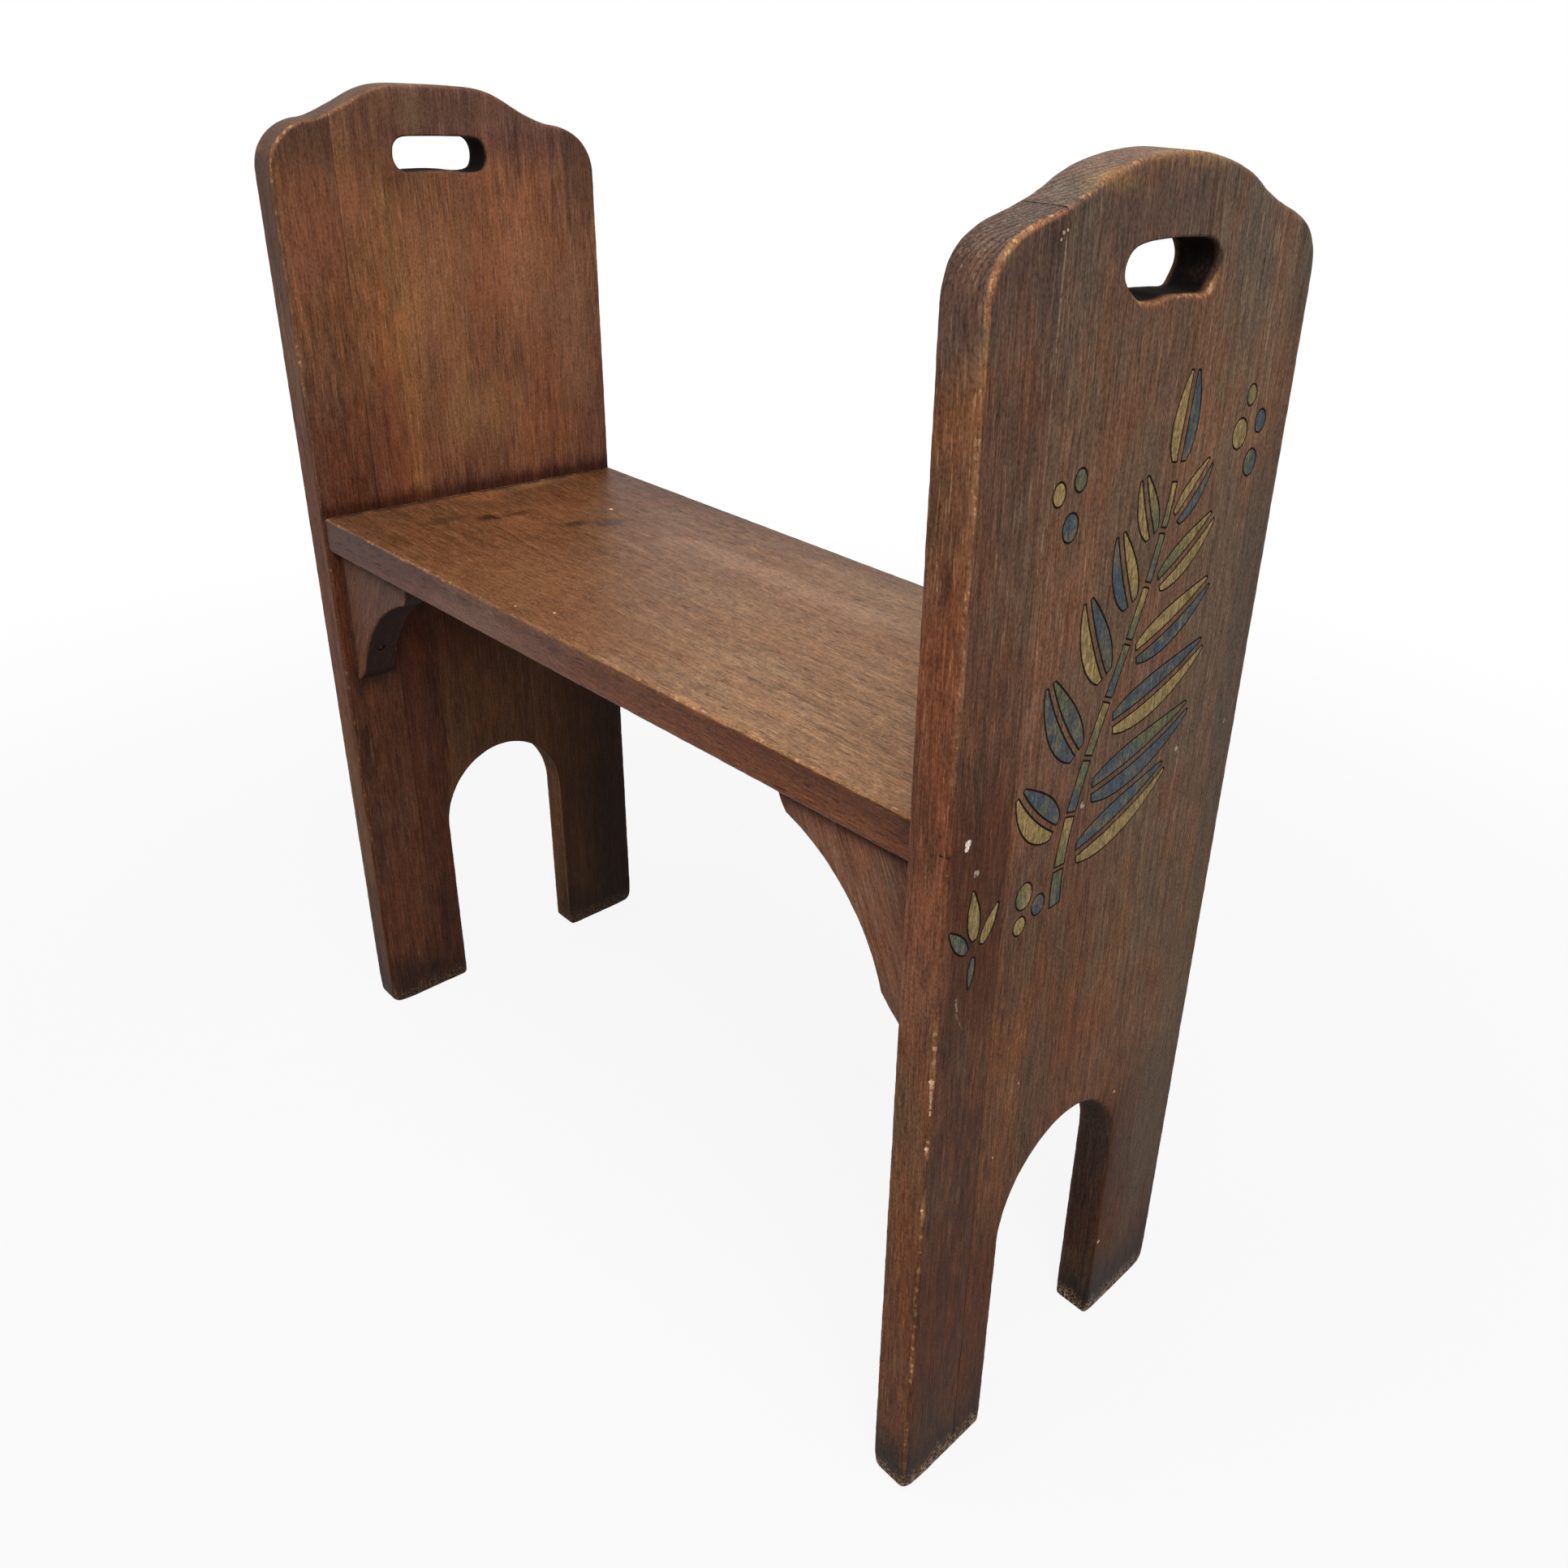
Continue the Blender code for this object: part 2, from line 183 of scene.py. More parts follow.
class Edge:
    # a closed loop with values at every point: the arris radius and wear of each side, and dirt and painted shade on
    # the wall
    closed = 0.25                              # arris radius where a board meets another, in mm

    def __init__(self, points, values, shown):
        self.points = points
        self.values = values                   # name to an array: front, back, wearFront, wearBack, and the dirt and painted shade
        self.shown = shown                     # whether the segment after each point is an open edge

    def offsets(self, radii):
        # the vector o at each point with o.n1 = r1 and o.n2 = r2 for the inward normals on its two sides
        run = np.roll(self.points, -1, axis=0) - self.points
        normal = np.stack([-run[:, 1], run[:, 0]], axis=1) / np.hypot(*run.T)[:, None]
        after = np.minimum(radii, np.where(self.shown, meshing["noArris"], self.closed))
        before = np.roll(after, 1)
        n1, n2 = np.roll(normal, 1, axis=0), normal
        cross = n1[:, 0] * n2[:, 1] - n1[:, 1] * n2[:, 0]
        isSharp = np.abs(cross) > 0.3          # the sine of the corner's turn
        safe = np.where(isSharp, cross, 1)
        sharp = np.stack([before * n2[:, 1] - after * n1[:, 1], after * n1[:, 0] - before * n2[:, 0]], axis=1)
        middle = n1 + n2
        soft = middle / (middle ** 2).sum(axis=1)[:, None] * (before + after)[:, None]
        return np.where(isSharp[:, None], sharp / safe[:, None], soft)

    def add(self, name, bumps):
        # each bump (a, b, height, reach) adds height exp(-(gap / reach)^2) to the named value
        for a, b, height, reach in bumps:
            gap = np.hypot(self.points[:, 0] - a, self.points[:, 1] - b)
            self.values[name] = self.values[name] + height * np.exp(-(gap / reach) ** 2)


def woodLoop(parts, radius, seed, waver=0.16, wear=0.1, dirt=0.0):
    # an Edge whose arris radius is r (1 + waver * waves), from parts of (curve, whether it is open)
    points = np.concatenate([part[:-1] for part, shown in parts])
    shown = np.concatenate([np.full(len(part) - 1, shown) for part, shown in parts])
    if signedArea(points) < 0:
        points = points[::-1]
        shown = np.roll(shown[::-1], -1)
    run = np.hypot(*(np.roll(points, -1, axis=0) - points).T)
    places = np.cumsum(run) - run
    values = {"wearFront": np.full(len(points), wear), "wearBack": np.full(len(points), wear),
              "dirt": np.full(len(points), dirt)}
    for number, side in enumerate(("front", "back")):
        slow = waves(places, run.sum(), meshing["slowWaves"], seed + number)
        fine = waves(places, run.sum(), meshing["fineWaves"], seed + number + 20)
        values[side] = radius * (1 + waver * slow + waver * meshing["fineShare"] * fine)
    return Edge(points, values, shown)


def reversedEdge(edge):
    # the same loop run the other way, as a hole's is
    values = {name: value[::-1] for name, value in edge.values.items()}
    return Edge(edge.points[::-1], values, np.roll(edge.shown[::-1], -1))


def splitAt(edge, cut, keepLess, step=10.0, margin=5.0, clearance=2.0):
    # the part of a loop on one side of the line a = cut, closed along that line
    sign = 1 if keepLess else -1
    kept = sign * (edge.points[:, 0] - cut) < 0
    first = np.flatnonzero(kept & ~np.roll(kept, 1))[0]
    order = np.roll(np.arange(len(kept)), -first)
    inside = order[kept[order]]
    crossings = ((inside[0], inside[0] - 1), (inside[-1], (inside[-1] + 1) % len(kept)))

    def between(values, near, far):
        share = (cut - edge.points[near, 0]) / (edge.points[far, 0] - edge.points[near, 0])
        return values[near] + (values[far] - values[near]) * share

    start, end = (between(edge.points, *pair) for pair in crossings)
    inside = inside[np.abs(edge.points[inside, 0] - cut) > clearance]      # so that no arris folds over at the corner
    seam = evenly([end, start], step, margin)[1:-1]
    points = np.concatenate([[start], edge.points[inside], [end], seam])
    values = {}
    for name, value in edge.values.items():
        low, high = (between(value, *pair) for pair in crossings)
        rest = np.full(len(seam), Edge.closed if name in ("front", "back") else 0.0)
        values[name] = np.concatenate([[low], value[inside], [high], rest])
    shown = np.ones(len(points), bool)
    shown[len(inside) + 1:] = False
    return Edge(points, values, shown)


def fillFace(rims, loops, spots):
    # triangles over the face inside the rims: (points, triangles, for each point its input index or -1)
    sets = [*rims, *loops, spots]
    points = np.concatenate(sets)
    edges = []
    low = 0
    for loop in sets[:-1]:
        index = low + np.arange(len(loop))
        edges += np.stack([index, np.roll(index, -1)], axis=1).tolist()
        low += len(loop)
    made = delaunay_2d_cdt([Vector(point) for point in points.tolist()], edges, [], 0, 1e-4)
    places = np.array([tuple(point) for point in made[0]])
    origin = np.array([source[0] if source else -1 for source in made[3]])
    triangles = np.array(made[2])
    ofRim = (origin >= 0) & (origin < sum(len(rim) for rim in rims))
    doubtful = np.flatnonzero(ofRim[triangles].all(axis=1))
    middles = places[triangles[doubtful]].mean(axis=1)
    covered = sum(isInside(middles, rim).astype(int) for rim in rims)
    keep = np.ones(len(triangles), bool)
    keep[doubtful] = covered == 1
    return places, triangles[keep], origin


def nearRimPoints(edges, side):
    # rows of points a little inside the rim, at the insets where wear fades
    rows = []
    for edge in edges:
        for inset, skip in meshing["insets"]:
            radius = edge.values[side]
            offset = edge.offsets(radius + inset)
            length = np.hypot(*offset.T)
            fine = length < (radius + inset) * 1.3      # leaves out those that swing wide at a corner
            rows.append((edge.points + offset)[fine][::skip])
    return np.concatenate(rows)


class Board:
    # everything that makes one board: its edges, its frame and what is cut into its outer face
    def __init__(self, name, origin, along, up, thickness, edges, step=5.0, rowStep=3.0):
        self.name = name
        self.origin = np.array(origin, float)
        self.along, self.up = np.array(along, float), np.array(up, float)
        self.outward = np.cross(self.along, self.up)
        self.thickness = thickness
        self.edges = edges                     # outer loop first, then holes
        self.step, self.rowStep = step, rowStep
        self.cells = []                        # carved and painted cells: (loop, colour at each of its ends)
        self.wells = []                        # sunk nail holes: (a, b, radius)
        self.dents = []                        # nail heads' dents in the edge: (axis, centre, reach, target, way)
        self.undulation = 0.10                 # hollows left by the plane, in mm
        self.contactDirtAndShade = 0.0                 # dirt and painted shade along the edges that meet another board
        self.seed = 1

    def place(self, a, b, w):
        # origin + a along + b up - w outward, in metres
        spots = self.origin + a[:, None] * self.along + b[:, None] * self.up - w[:, None] * self.outward
        return spots * millimetre


def arrisRows(board):
    # (side, sine, cosine, share) of each row from the front face round the edge to the back face
    turns = np.radians([0, 22.5, 45, 67.5, 90])
    rows = [("front", math.sin(turn), math.cos(turn), 0) for turn in turns]
    count = max(2, round(board.thickness / board.rowStep))
    rows += [("side", 0, 0, share) for share in np.linspace(0, 1, count + 1)[1:-1]]
    rows += [("back", math.sin(turn), math.cos(turn), 0) for turn in turns[::-1]]
    return rows


def edgeGrid(board, edge):
    # rows x points grids: point + offset (1 - sin t) at depth r (1 - cos t), its arris distance, wear, and dirt and
    # painted shade
    offsets = {side: edge.offsets(edge.values[side]) for side in ("front", "back")}
    low, high = edge.values["front"], board.thickness - edge.values["back"]
    flat, depth, rim, wear, dirt = [], [], [], [], []
    quarter = math.pi / 4
    for side, sine, cosine, share in arrisRows(board):
        if side == "side":
            w = low + (high - low) * share
            flat.append(edge.points)
            depth.append(w)
            rim.append(np.minimum(w - low, high - w) + meshing["wallRim"])
        else:
            radius = edge.values[side]
            w = radius * (1 - cosine)
            flat.append(edge.points + offsets[side] * (1 - sine))
            depth.append(w if side == "front" else board.thickness - w)
            rim.append(radius * abs(math.asin(sine) - quarter))
        isFront = side == "front" or (side == "side" and share < 0.5)
        wear.append(edge.values["wearFront" if isFront else "wearBack"])
        dirt.append(edge.values["dirt"] * (1.0 if side == "side" else 0.5 - 0.5 * (1 - sine)))
    flat, depth, rim, wear, dirt = (np.array(rows) for rows in (flat, depth, rim, wear, dirt))
    hidden = ~(edge.shown | np.roll(edge.shown, 1))
    rim[:, hidden] = meshing["farFromRim"]
    for axis, centre, reach, target, way in board.dents:
        # pushed in to the target, way 1 or -1 along the axis, but not on the board's far side
        gap = np.hypot(flat[..., 1 - axis] - centre, depth - board.thickness / 2)
        inner, outer = (reach * share for share in meshing["dentSlope"])
        share = (1 - smoothStep(inner, outer, gap)) * edge.shown
        push = way * (target - flat[..., axis])
        near = push < meshing["dentLimit"]
        flat[..., axis] += (np.where(push > 0, target, flat[..., axis]) - flat[..., axis]) * share * near
    return flat, depth, rim, wear, dirt


def circle(a, b, radius, count, seed):
    # a ring with a slightly chipped radius
    turn = np.arange(count) / count * 2 * np.pi
    rough = radius * (1 + 0.12 * waves(turn, 2 * np.pi, (3, 2, 1.2), seed))
    return np.stack([a + rough * np.cos(turn), b + rough * np.sin(turn)], axis=1)


def freePoints(board, side, rims, grid, bottoms, wells):
    # the points inside a face that are clear of its rims, grooves and wells
    spots = np.concatenate([grid, nearRimPoints(board.edges, side)])
    inMaterial = isInside(spots, rims[0])
    for hole in rims[1:] + wells:
        inMaterial &= ~isInside(spots, hole)
    inMaterial &= distanceTo(spots, *segments(rims))[0] > meshing["rimGap"]
    spots = spots[inMaterial]
    if bottoms or wells:
        spots = spots[distanceTo(spots, *segments([*bottoms, *wells]))[0] > meshing["lineGap"]]
    if bottoms:
        # the lips of the grooves, left out where those of a sharp tip run into each other
        half = carving["width"] / 2
        lips = np.concatenate([shifted(loop, way * half) for loop in bottoms for way in (1, -1)])
        spots = np.concatenate([spots, lips[distanceTo(lips, *segments(bottoms))[0] > 0.9 * half]])
    return spots


def buildBoard(board):
    # the edge grids, then both faces filled, welded along their shared rims
    places, faces = [], []
    layers = {name: [] for name in ("rim", "wear", "dirt", "groove", "paint")}
    total = 0

    def addPoints(a, b, w, **given):
        nonlocal total
        places.append(board.place(a, b, w))
        for name, rows in layers.items():
            rows.append(given.get(name, np.zeros((len(a), 4) if name == "paint" else len(a))))
        total += len(a)
        return total - len(a)

    outerRows = []                             # each edge's first and last row, with their point numbers
    for edge in board.edges:
        flat, depth, rim, wear, dirt = edgeGrid(board, edge)
        low = addPoints(flat[..., 0].ravel(), flat[..., 1].ravel(), depth.ravel(), rim=rim.ravel(),
                        wear=wear.ravel(), dirt=dirt.ravel())
        index = low + np.arange(depth.size).reshape(depth.shape)
        right = np.roll(index, -1, axis=1)
        faces.append(np.stack([index[:-1], index[1:], right[1:], right[:-1]], axis=-1).reshape(-1, 4))
        outerRows.append([(flat[row], index[row]) for row in (0, -1)])

    allShown = np.concatenate([edge.shown for edge in board.edges])
    low, high = board.edges[0].points.min(axis=0), board.edges[0].points.max(axis=0)
    grid = np.stack(np.meshgrid(*[np.arange(low[k] + 2, high[k], board.step) for k in (0, 1)]), axis=-1)
    dice = np.random.default_rng(board.seed)
    grid = grid.reshape(-1, 2) + dice.uniform(-meshing["shake"], meshing["shake"], (grid.size // 2, 2)) * board.step

    for face, side in enumerate(("front", "back")):
        rims, rimNumbers = map(list, zip(*(rows[face] for rows in outerRows)))
        bottoms, wells = [], []
        if side == "front":
            bottoms = [cell[0] for cell in board.cells]
            wells = [circle(*well, meshing["wellRing"], 7 * number) for number, well in enumerate(board.wells)]
        spots = freePoints(board, side, rims, grid, bottoms, wells)
        flat, triangles, origin = fillFace(rims + wells, bottoms, spots)
        start, end = segments(rims)
        edgeGap, nearest = distanceTo(flat, start, end)
        shownGap = distanceTo(flat, start[allShown], end[allShown])[0]
        wear = np.concatenate([edge.values["wear" + side.capitalize()] for edge in board.edges])[nearest]
        # dirt and painted shade fading out from the edges that meet another board
        contact = meshing["contactDirtAndShade"] * (1 - smoothStep(*meshing["contactReach"], edgeGap))
        contact = contact * ~allShown[nearest] * board.contactDirtAndShade
        carved = np.zeros(len(flat))
        colour = np.zeros((len(flat), 4))
        if bottoms:
            first = len(start) + sum(map(len, wells))
            carved = ((origin >= first) & (origin < first + sum(map(len, bottoms)))).astype(float)
            colour = cellColours(flat, board.cells, carved)
        ease = smoothStep(0, meshing["hollowEase"], edgeGap)
        hollow = board.undulation * ease * (0.5 + 0.5 * ripples(flat, meshing["hollowWave"], board.seed + face))
        w = hollow + carved * carving["depth"] if side == "front" else board.thickness - hollow
        isRim = (origin >= 0) & (origin < len(start))
        fresh = np.flatnonzero(~isRim)
        base = addPoints(flat[fresh, 0], flat[fresh, 1], w[fresh], rim=shownGap[fresh] + meshing["faceRim"],
                         wear=wear[fresh], dirt=contact[fresh], paint=colour[fresh], groove=carved[fresh])
        target = np.empty(len(flat), int)
        target[fresh] = base + np.arange(len(fresh))
        target[isRim] = np.concatenate(rimNumbers)[origin[isRim]]
        tris = target[triangles]
        faces.append(tris if side == "front" else tris[:, ::-1])
        placeOf = {int(source): place for place, source in enumerate(origin)}
        offset = len(start)
        for ring, well in zip(wells, board.wells):
            mouth = target[[placeOf[offset + number] for number in range(len(ring))]]
            offset += len(ring)
            faces += wellFaces(ring, mouth, addPoints, well)

    places = np.concatenate(places)
    quads, tris = (np.concatenate([face for face in faces if face.shape[1] == count]) for count in (4, 3))
    mesh = bpy.data.meshes.new(board.name)
    polygons = quads.tolist() + tris.tolist()
    mesh.from_pydata(places.tolist(), [], polygons)
    mesh.update()
    bulk = volume(places, quads, tris)
    if bulk < 0:
        mesh.flip_normals()
    for name, rows in layers.items():
        if board.cells or name in ("rim", "wear", "dirt"):
            kind, field = ("FLOAT_COLOR", "color") if name == "paint" else ("FLOAT", "value")
            layer = mesh.attributes.new(name, kind, "POINT")
            layer.data.foreach_set(field, np.concatenate(rows).astype(np.float32).ravel())
    mesh.shade_smooth()
    mesh.set_sharp_from_angle(angle=math.radians(meshing["smoothAngle"]))
    print("built", board.name, len(polygons), "faces, volume", round(abs(bulk) * 1e6, 1), "cm3")
    return addObject(board.name, mesh)


def wellFaces(ring, mouth, addPoints, well):
    # rings of the same outline at growing depth, closed by a fan round the centre
    centre = np.array(well[:2])
    faces, above = [], mouth
    for depth, share in meshing["wellSteps"]:
        flat = centre + (ring - centre) * share
        low = addPoints(flat[:, 0], flat[:, 1], np.full(len(ring), depth),
                        rim=np.full(len(ring), meshing["farFromRim"]), dirt=np.ones(len(ring)))
        below = low + np.arange(len(ring))
        faces.append(np.stack([above, below, np.roll(below, -1), np.roll(above, -1)], axis=1)[:, ::-1])
        above = below
    low = addPoints(centre[:1], centre[1:], np.array([depth]), rim=np.array([meshing["farFromRim"]]), dirt=np.ones(1))
    hub = np.full(len(ring), low)
    faces.append(np.stack([above, hub, np.roll(above, -1)], axis=1)[:, ::-1])
    return faces


def volume(places, quads, tris):
    # sum over triangles of a . (b x c) / 6
    every = np.concatenate([tris, quads[:, :3], quads[:, [0, 2, 3]]])
    a, b, c = (places[every[:, k]] for k in range(3))
    return float((a * np.cross(b, c)).sum() / 6)


def addObject(name, data):
    # an object of the scene that holds the data
    made = bpy.data.objects.new(name, data)
    bpy.context.scene.collection.objects.link(made)
    return made


# the two ends, in mm: the crest's curves meet at ogee and shoulder, with their slopes there (Fall, in degrees) and the
# lengths of their handles (Run); side is half the width, seam the glue joint's place
ends = {
    "halfLength": 314.0, "thickness": 25.0, "crest": 712.95, "side": 120.0,
    "hump": 26.0, "ogee": (60.5, 12.2), "ogeeFall": 29.0, "ogeeRun": 12.0,
    "shoulder": (29.0, 23.8), "shoulderFall": 15.0, "shoulderRun": 10.0, "cornerRun": 17.0,
    "sideDrop": 56.0, "sideRun": 21.0,
    "archHalf": 53.0, "archTop": 209.5, "archRise": 60.0, "outerToe": 7.5, "innerToe": 4.0,
    "arris": 2.5, "waver": 0.16, "seam": 78.0, "seamGap": 0.3, "step": 1.5, "toeSteps": (1.0, 0.8), "nailHole": 2.2,
    "lean": 0.0, "leanAcross": (112, 64), "leanUp": (640, 690),      # full within 64 of the middle and above 690
    # the slot's walls get dirt and painted shade
    "slotWaver": 0.2, "slotStep": 1.2, "slotDirtAndShade": 1.0,
    "crown": (150, 195), "legDirtAndShade": 0.6, "crownDirtAndShade": 0.4,           # the arch's dirt and painted shade, and what its crown adds
}


def endOutline(size):
    # half the outline from the crest down to the arch's crown, then its mirror image, as one closed curve,
    # with the crest moved sideways by lean
    top, side, outerToe, innerToe, archHalf, archRise, step = (
        size[name] for name in ("crest", "side", "outerToe", "innerToe", "archHalf", "archRise", "step"))
    spring = size["archTop"] - archRise
    crest = np.array([0, top])
    ogee = np.array([size["ogee"][0], top - size["ogee"][1]])
    shoulder = np.array([side - size["shoulder"][0], top - size["shoulder"][1]])
    sideTop = np.array([side, top - size["sideDrop"]])
    fall = lambda degrees: np.array([math.cos(math.radians(degrees)), -math.sin(math.radians(degrees))])
    ogeeRun, shoulderRun = fall(size["ogeeFall"]) * size["ogeeRun"], fall(size["shoulderFall"])
    half = [
        bezier((crest, crest + (size["hump"], 0), ogee - ogeeRun, ogee)),
        bezier((ogee, ogee + ogeeRun, shoulder - shoulderRun * size["shoulderRun"], shoulder)),
        bezier((shoulder, shoulder + shoulderRun * size["cornerRun"], sideTop + (0, size["sideRun"]), sideTop)),
        np.array([sideTop, (side, outerToe)]),
        arc((side - outerToe, outerToe), outerToe, outerToe, 0, -90),
        np.array([(side - outerToe, 0), (archHalf + innerToe, 0)]),
        arc((archHalf + innerToe, innerToe), innerToe, innerToe, -90, -180),
        np.array([(archHalf, innerToe), (archHalf, spring)]),
        arc((0, spring), archHalf, archRise, 0, 90),
    ]
    outerStep, innerStep = size["toeSteps"]
    paces = [step] * 4 + [outerStep, step, innerStep, step, step]
    half = [evenly(part, pace) for part, pace in zip(half, paces)]
    line = np.concatenate([part[:-1] for part in half] + [half[-1][-1:]])
    line[-1, 0] = 0
    loop = np.concatenate([(line * (-1, 1))[:-1], line[::-1]])
    lean = smoothStep(*size["leanAcross"], np.abs(loop[:, 0])) * smoothStep(*size["leanUp"], loop[:, 1])
    return loop + np.stack([size["lean"] * lean, 0 * lean], axis=1)


def slotOutline(points):
    # a closed curve through the points: (2b + (c-a)t + (2a-5b+4c-d)t^2 + (3b-a-3c+d)t^3) / 2 from b to c
    a, b, c, d = (np.roll(np.asarray(points, float), shift, axis=0)[:, None] for shift in (1, 0, -1, -2))
    t = np.linspace(0, 1, 16, endpoint=False)[:, None]
    curve = (2 * b + (c - a) * t + (2 * a - 5 * b + 4 * c - d) * t ** 2 + (3 * b - a - 3 * c + d) * t ** 3) / 2
    curve = curve.reshape(-1, 2)
    return evenly(np.concatenate([curve, curve[:1]]), ends["slotStep"])


def endBoards(side, size, wear, seed):
    # the front and main boards of one end, both seen from its outer face
    sign = 1 if side == "right" else -1
    size = {**size, **wear["shape"]}
    outer = woodLoop([(endOutline(size), True)], size["arris"], seed, size["waver"], wear["base"])
    slot = [(slotOutline([(sign * y, z) for y, z in wear["slot"]]), True)]
    slot = woodLoop(slot, wear["slotArris"], seed + 5, size["slotWaver"], wear["slotBase"], size["slotDirtAndShade"])
    slot = reversedEdge(slot)
    # the arch's reveals get dirt and painted shade, more towards the crown
    isArch = np.abs(outer.points[:, 0]) < size["archHalf"] + 0.5
    isArch &= outer.points[:, 1] < size["archTop"] + 1
    crownShare = smoothStep(*size["crown"], outer.points[:, 1])
    archDirtAndShade = wear["archDirtAndShade"] * (size["legDirtAndShade"] + size["crownDirtAndShade"] * crownShare)
    outer.values["dirt"] = np.where(isArch, archDirtAndShade, 0.0)
    for edge, kind in ((outer, "edge"), (slot, "slotEdge")):
        for name, bumps in wear[kind].items():
            edge.add(name, [(sign * y, z, *rest) for y, z, *rest in bumps])
    seam, gap = -sign * size["seam"], size["seamGap"] / 2
    frontEdge = splitAt(outer, seam - sign * gap, sign > 0)
    mainEdge = splitAt(outer, seam + sign * gap, sign < 0)
    origin, along, up = (sign * size["halfLength"], 0, 0), (0, sign, 0), (0, 0, 1)
    front = Board(side + "FrontBoard", origin, along, up, size["thickness"], [frontEdge])
    main = Board(side + "MainBoard", origin, along, up, size["thickness"], [mainEdge, slot])
    for number in range(1, 5):
        low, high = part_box(f"{side}_putty_{number}")
        a, b = sign * (low[1] + high[1]) / 2 / millimetre, (low[2] + high[2]) / 2 / millimetre
        board = front if number == 1 else main
        board.wells.append((a, b, size["nailHole"]))
    front.seed, main.seed = seed, seed + 1
    return front, main


# carved and painted sprig on the right end's outer face
carving = {"width": 1.3, "depth": 0.7, "step": 1.0}
gold, blue, green = tone(158, 134, 88), tone(72, 84, 92), tone(94, 100, 76)
sprig = {
    "stem": ((-36, 366), (-42, 440), (14, 500), (22, 578)),
    "stemWidth": (8.5, 4.2),
    "stemCuts": (0.0, 0.105, 0.24, 0.375, 0.51, 0.64, 0.765, 0.88, 0.985),
    "ribGap": 3.6, "stemGap": 5.0,
    # place on the stem, length, width, turn away from the stem in degrees, bend
    "leftLeaves": (
        (0.21, 46, 20.0, 70, 0.45), (0.38, 56, 19.0, 62, 0.35), (0.55, 52, 18.0, 55, 0.25),
        (0.71, 44, 15.5, 48, 0.20), (0.86, 35, 12.5, 41, 0.15),
    ),
    "rightLeaves": (
        (0.12, 84, 20.0, 76, 0.40), (0.285, 92, 21.0, 69, 0.40), (0.45, 86, 19.5, 61, 0.38),
        (0.61, 70, 17.5, 54, 0.34), (0.765, 54, 15.0, 47, 0.30), (0.90, 38, 12.0, 40, 0.25),
    ),
    "endLeaf": (46, 17.0),
    # centre, half width and half height of each berry
    "berries": (
        (-62, 384, 6.2, 7.6), (-50, 374, 5.0, 6.0), (-63.5, 367.5, 4.6, 5.4), (88, 572, 5.6, 6.8),
        (74, 588, 6.4, 7.6), (92, 592, 4.8, 5.8), (80, 606, 4.2, 5.2), (-56, 566, 5.4, 6.6),
        (-66, 582, 4.4, 5.4), (-52, 586, 4.2, 5.2),
    ),
    # foot, length, width and direction of each leaf of the small bud
    "bud": (
        (-97, 374, 32, 9.0, 97), (-101.5, 370, 24, 7.5, 128), (-92.5, 370, 24, 7.5, 62), (-97, 367, 20, 5.0, 265),
    ),
}


def stemAt(places):
    # the stem's points and its direction there, from (1-t)^2 (b-a) + 2t(1-t) (c-b) + t^2 (d-c)
    a, b, c, d = (np.asarray(point, float) for point in sprig["stem"])
    t = np.asarray(places, float)[:, None]
    slope = (1 - t) ** 2 * (b - a) + 2 * t * (1 - t) * (c - b) + t ** 2 * (d - c)
    return bezier(sprig["stem"], places), np.arctan2(slope[:, 1], slope[:, 0])


def leafSides(base, turn, length, width, bend, fullness):
    # midrib that turns by bend from its foot to its tip, and half widths w/2 sin(pi t^0.75)^fullness
    t = np.linspace(0, 1, 40)
    heading = turn + bend * t
    stride = np.stack([np.cos(heading), np.sin(heading)], axis=1) * length / (len(t) - 1)
    rib = base + np.concatenate([np.zeros((1, 2)), np.cumsum(stride[:-1], axis=0)])
    across = np.stack([-np.sin(heading), np.cos(heading)], axis=1)
    half = width / 2 * np.sin(np.pi * t ** 0.75) ** fullness
    keep = (t > 0.03) & (t < 0.97)      # without the very tips
    return rib[keep], across[keep], half[keep][:, None]


def halfLeaf(base, turn, length, width, bend, side):
    # the cell on one side of the midrib, half a rib gap away from it
    rib, across, half = leafSides(base, turn, length, width, bend, 0.75)
    inner = rib + across * side * sprig["ribGap"] / 2
    return np.concatenate([inner, (inner + across * side * half)[::-1]])


def sprigCells():
    # every cell of the sprig as (loop, colour at its foot, colour at its tip)
    cells = []
    tones = ((gold, gold), (blue, green), (blue, blue), (green, gold))
    for side, leaves in ((1, sprig["leftLeaves"]), (-1, sprig["rightLeaves"])):
        for number, (place, length, width, turn, bend) in enumerate(leaves):
            (point,), (heading,) = stemAt([place])
            across = np.array([-math.sin(heading), math.cos(heading)]) * side
            base = point + across * (np.interp(place, (0, 1), sprig["stemWidth"]) / 2 + sprig["stemGap"])
            for half in (0, 1):
                loop = halfLeaf(base, heading + side * math.radians(turn), length, width, -side * bend,
                                side * (1 - 2 * half))
                cells.append((loop, *tones[(number + half) % 2 * 2 + (number % 3 == 1 and half == 1)]))
    cuts = sprig["stemCuts"]
    for number, (low, high) in enumerate(zip(cuts, cuts[1:])):
        places = np.linspace(low + 0.006, high - 0.006, 14)
        points, heading = stemAt(places)
        across = np.stack([-np.sin(heading), np.cos(heading)], axis=1)
        half = np.interp(places, (0, 1), sprig["stemWidth"])[:, None] / 2
        cells.append((np.concatenate([points + across * half, (points - across * half)[::-1]]),
                      *((green, gold) if number % 2 else (blue, green))))
    (point,), (heading,) = stemAt([1.0])
    base = point + np.array([math.cos(heading), math.sin(heading)]) * 2
    for side, colour in ((1, gold), (-1, blue)):
        cells.append((halfLeaf(base, heading, *sprig["endLeaf"], 0, side), colour, colour))
    for number, (a, b, across, up) in enumerate(sprig["berries"]):
        colour = gold if number % 2 == 0 else blue
        cells.append((arc((a, b), across, up, 0, 352, 45), colour, green if number % 3 == 0 else colour))
    return cells


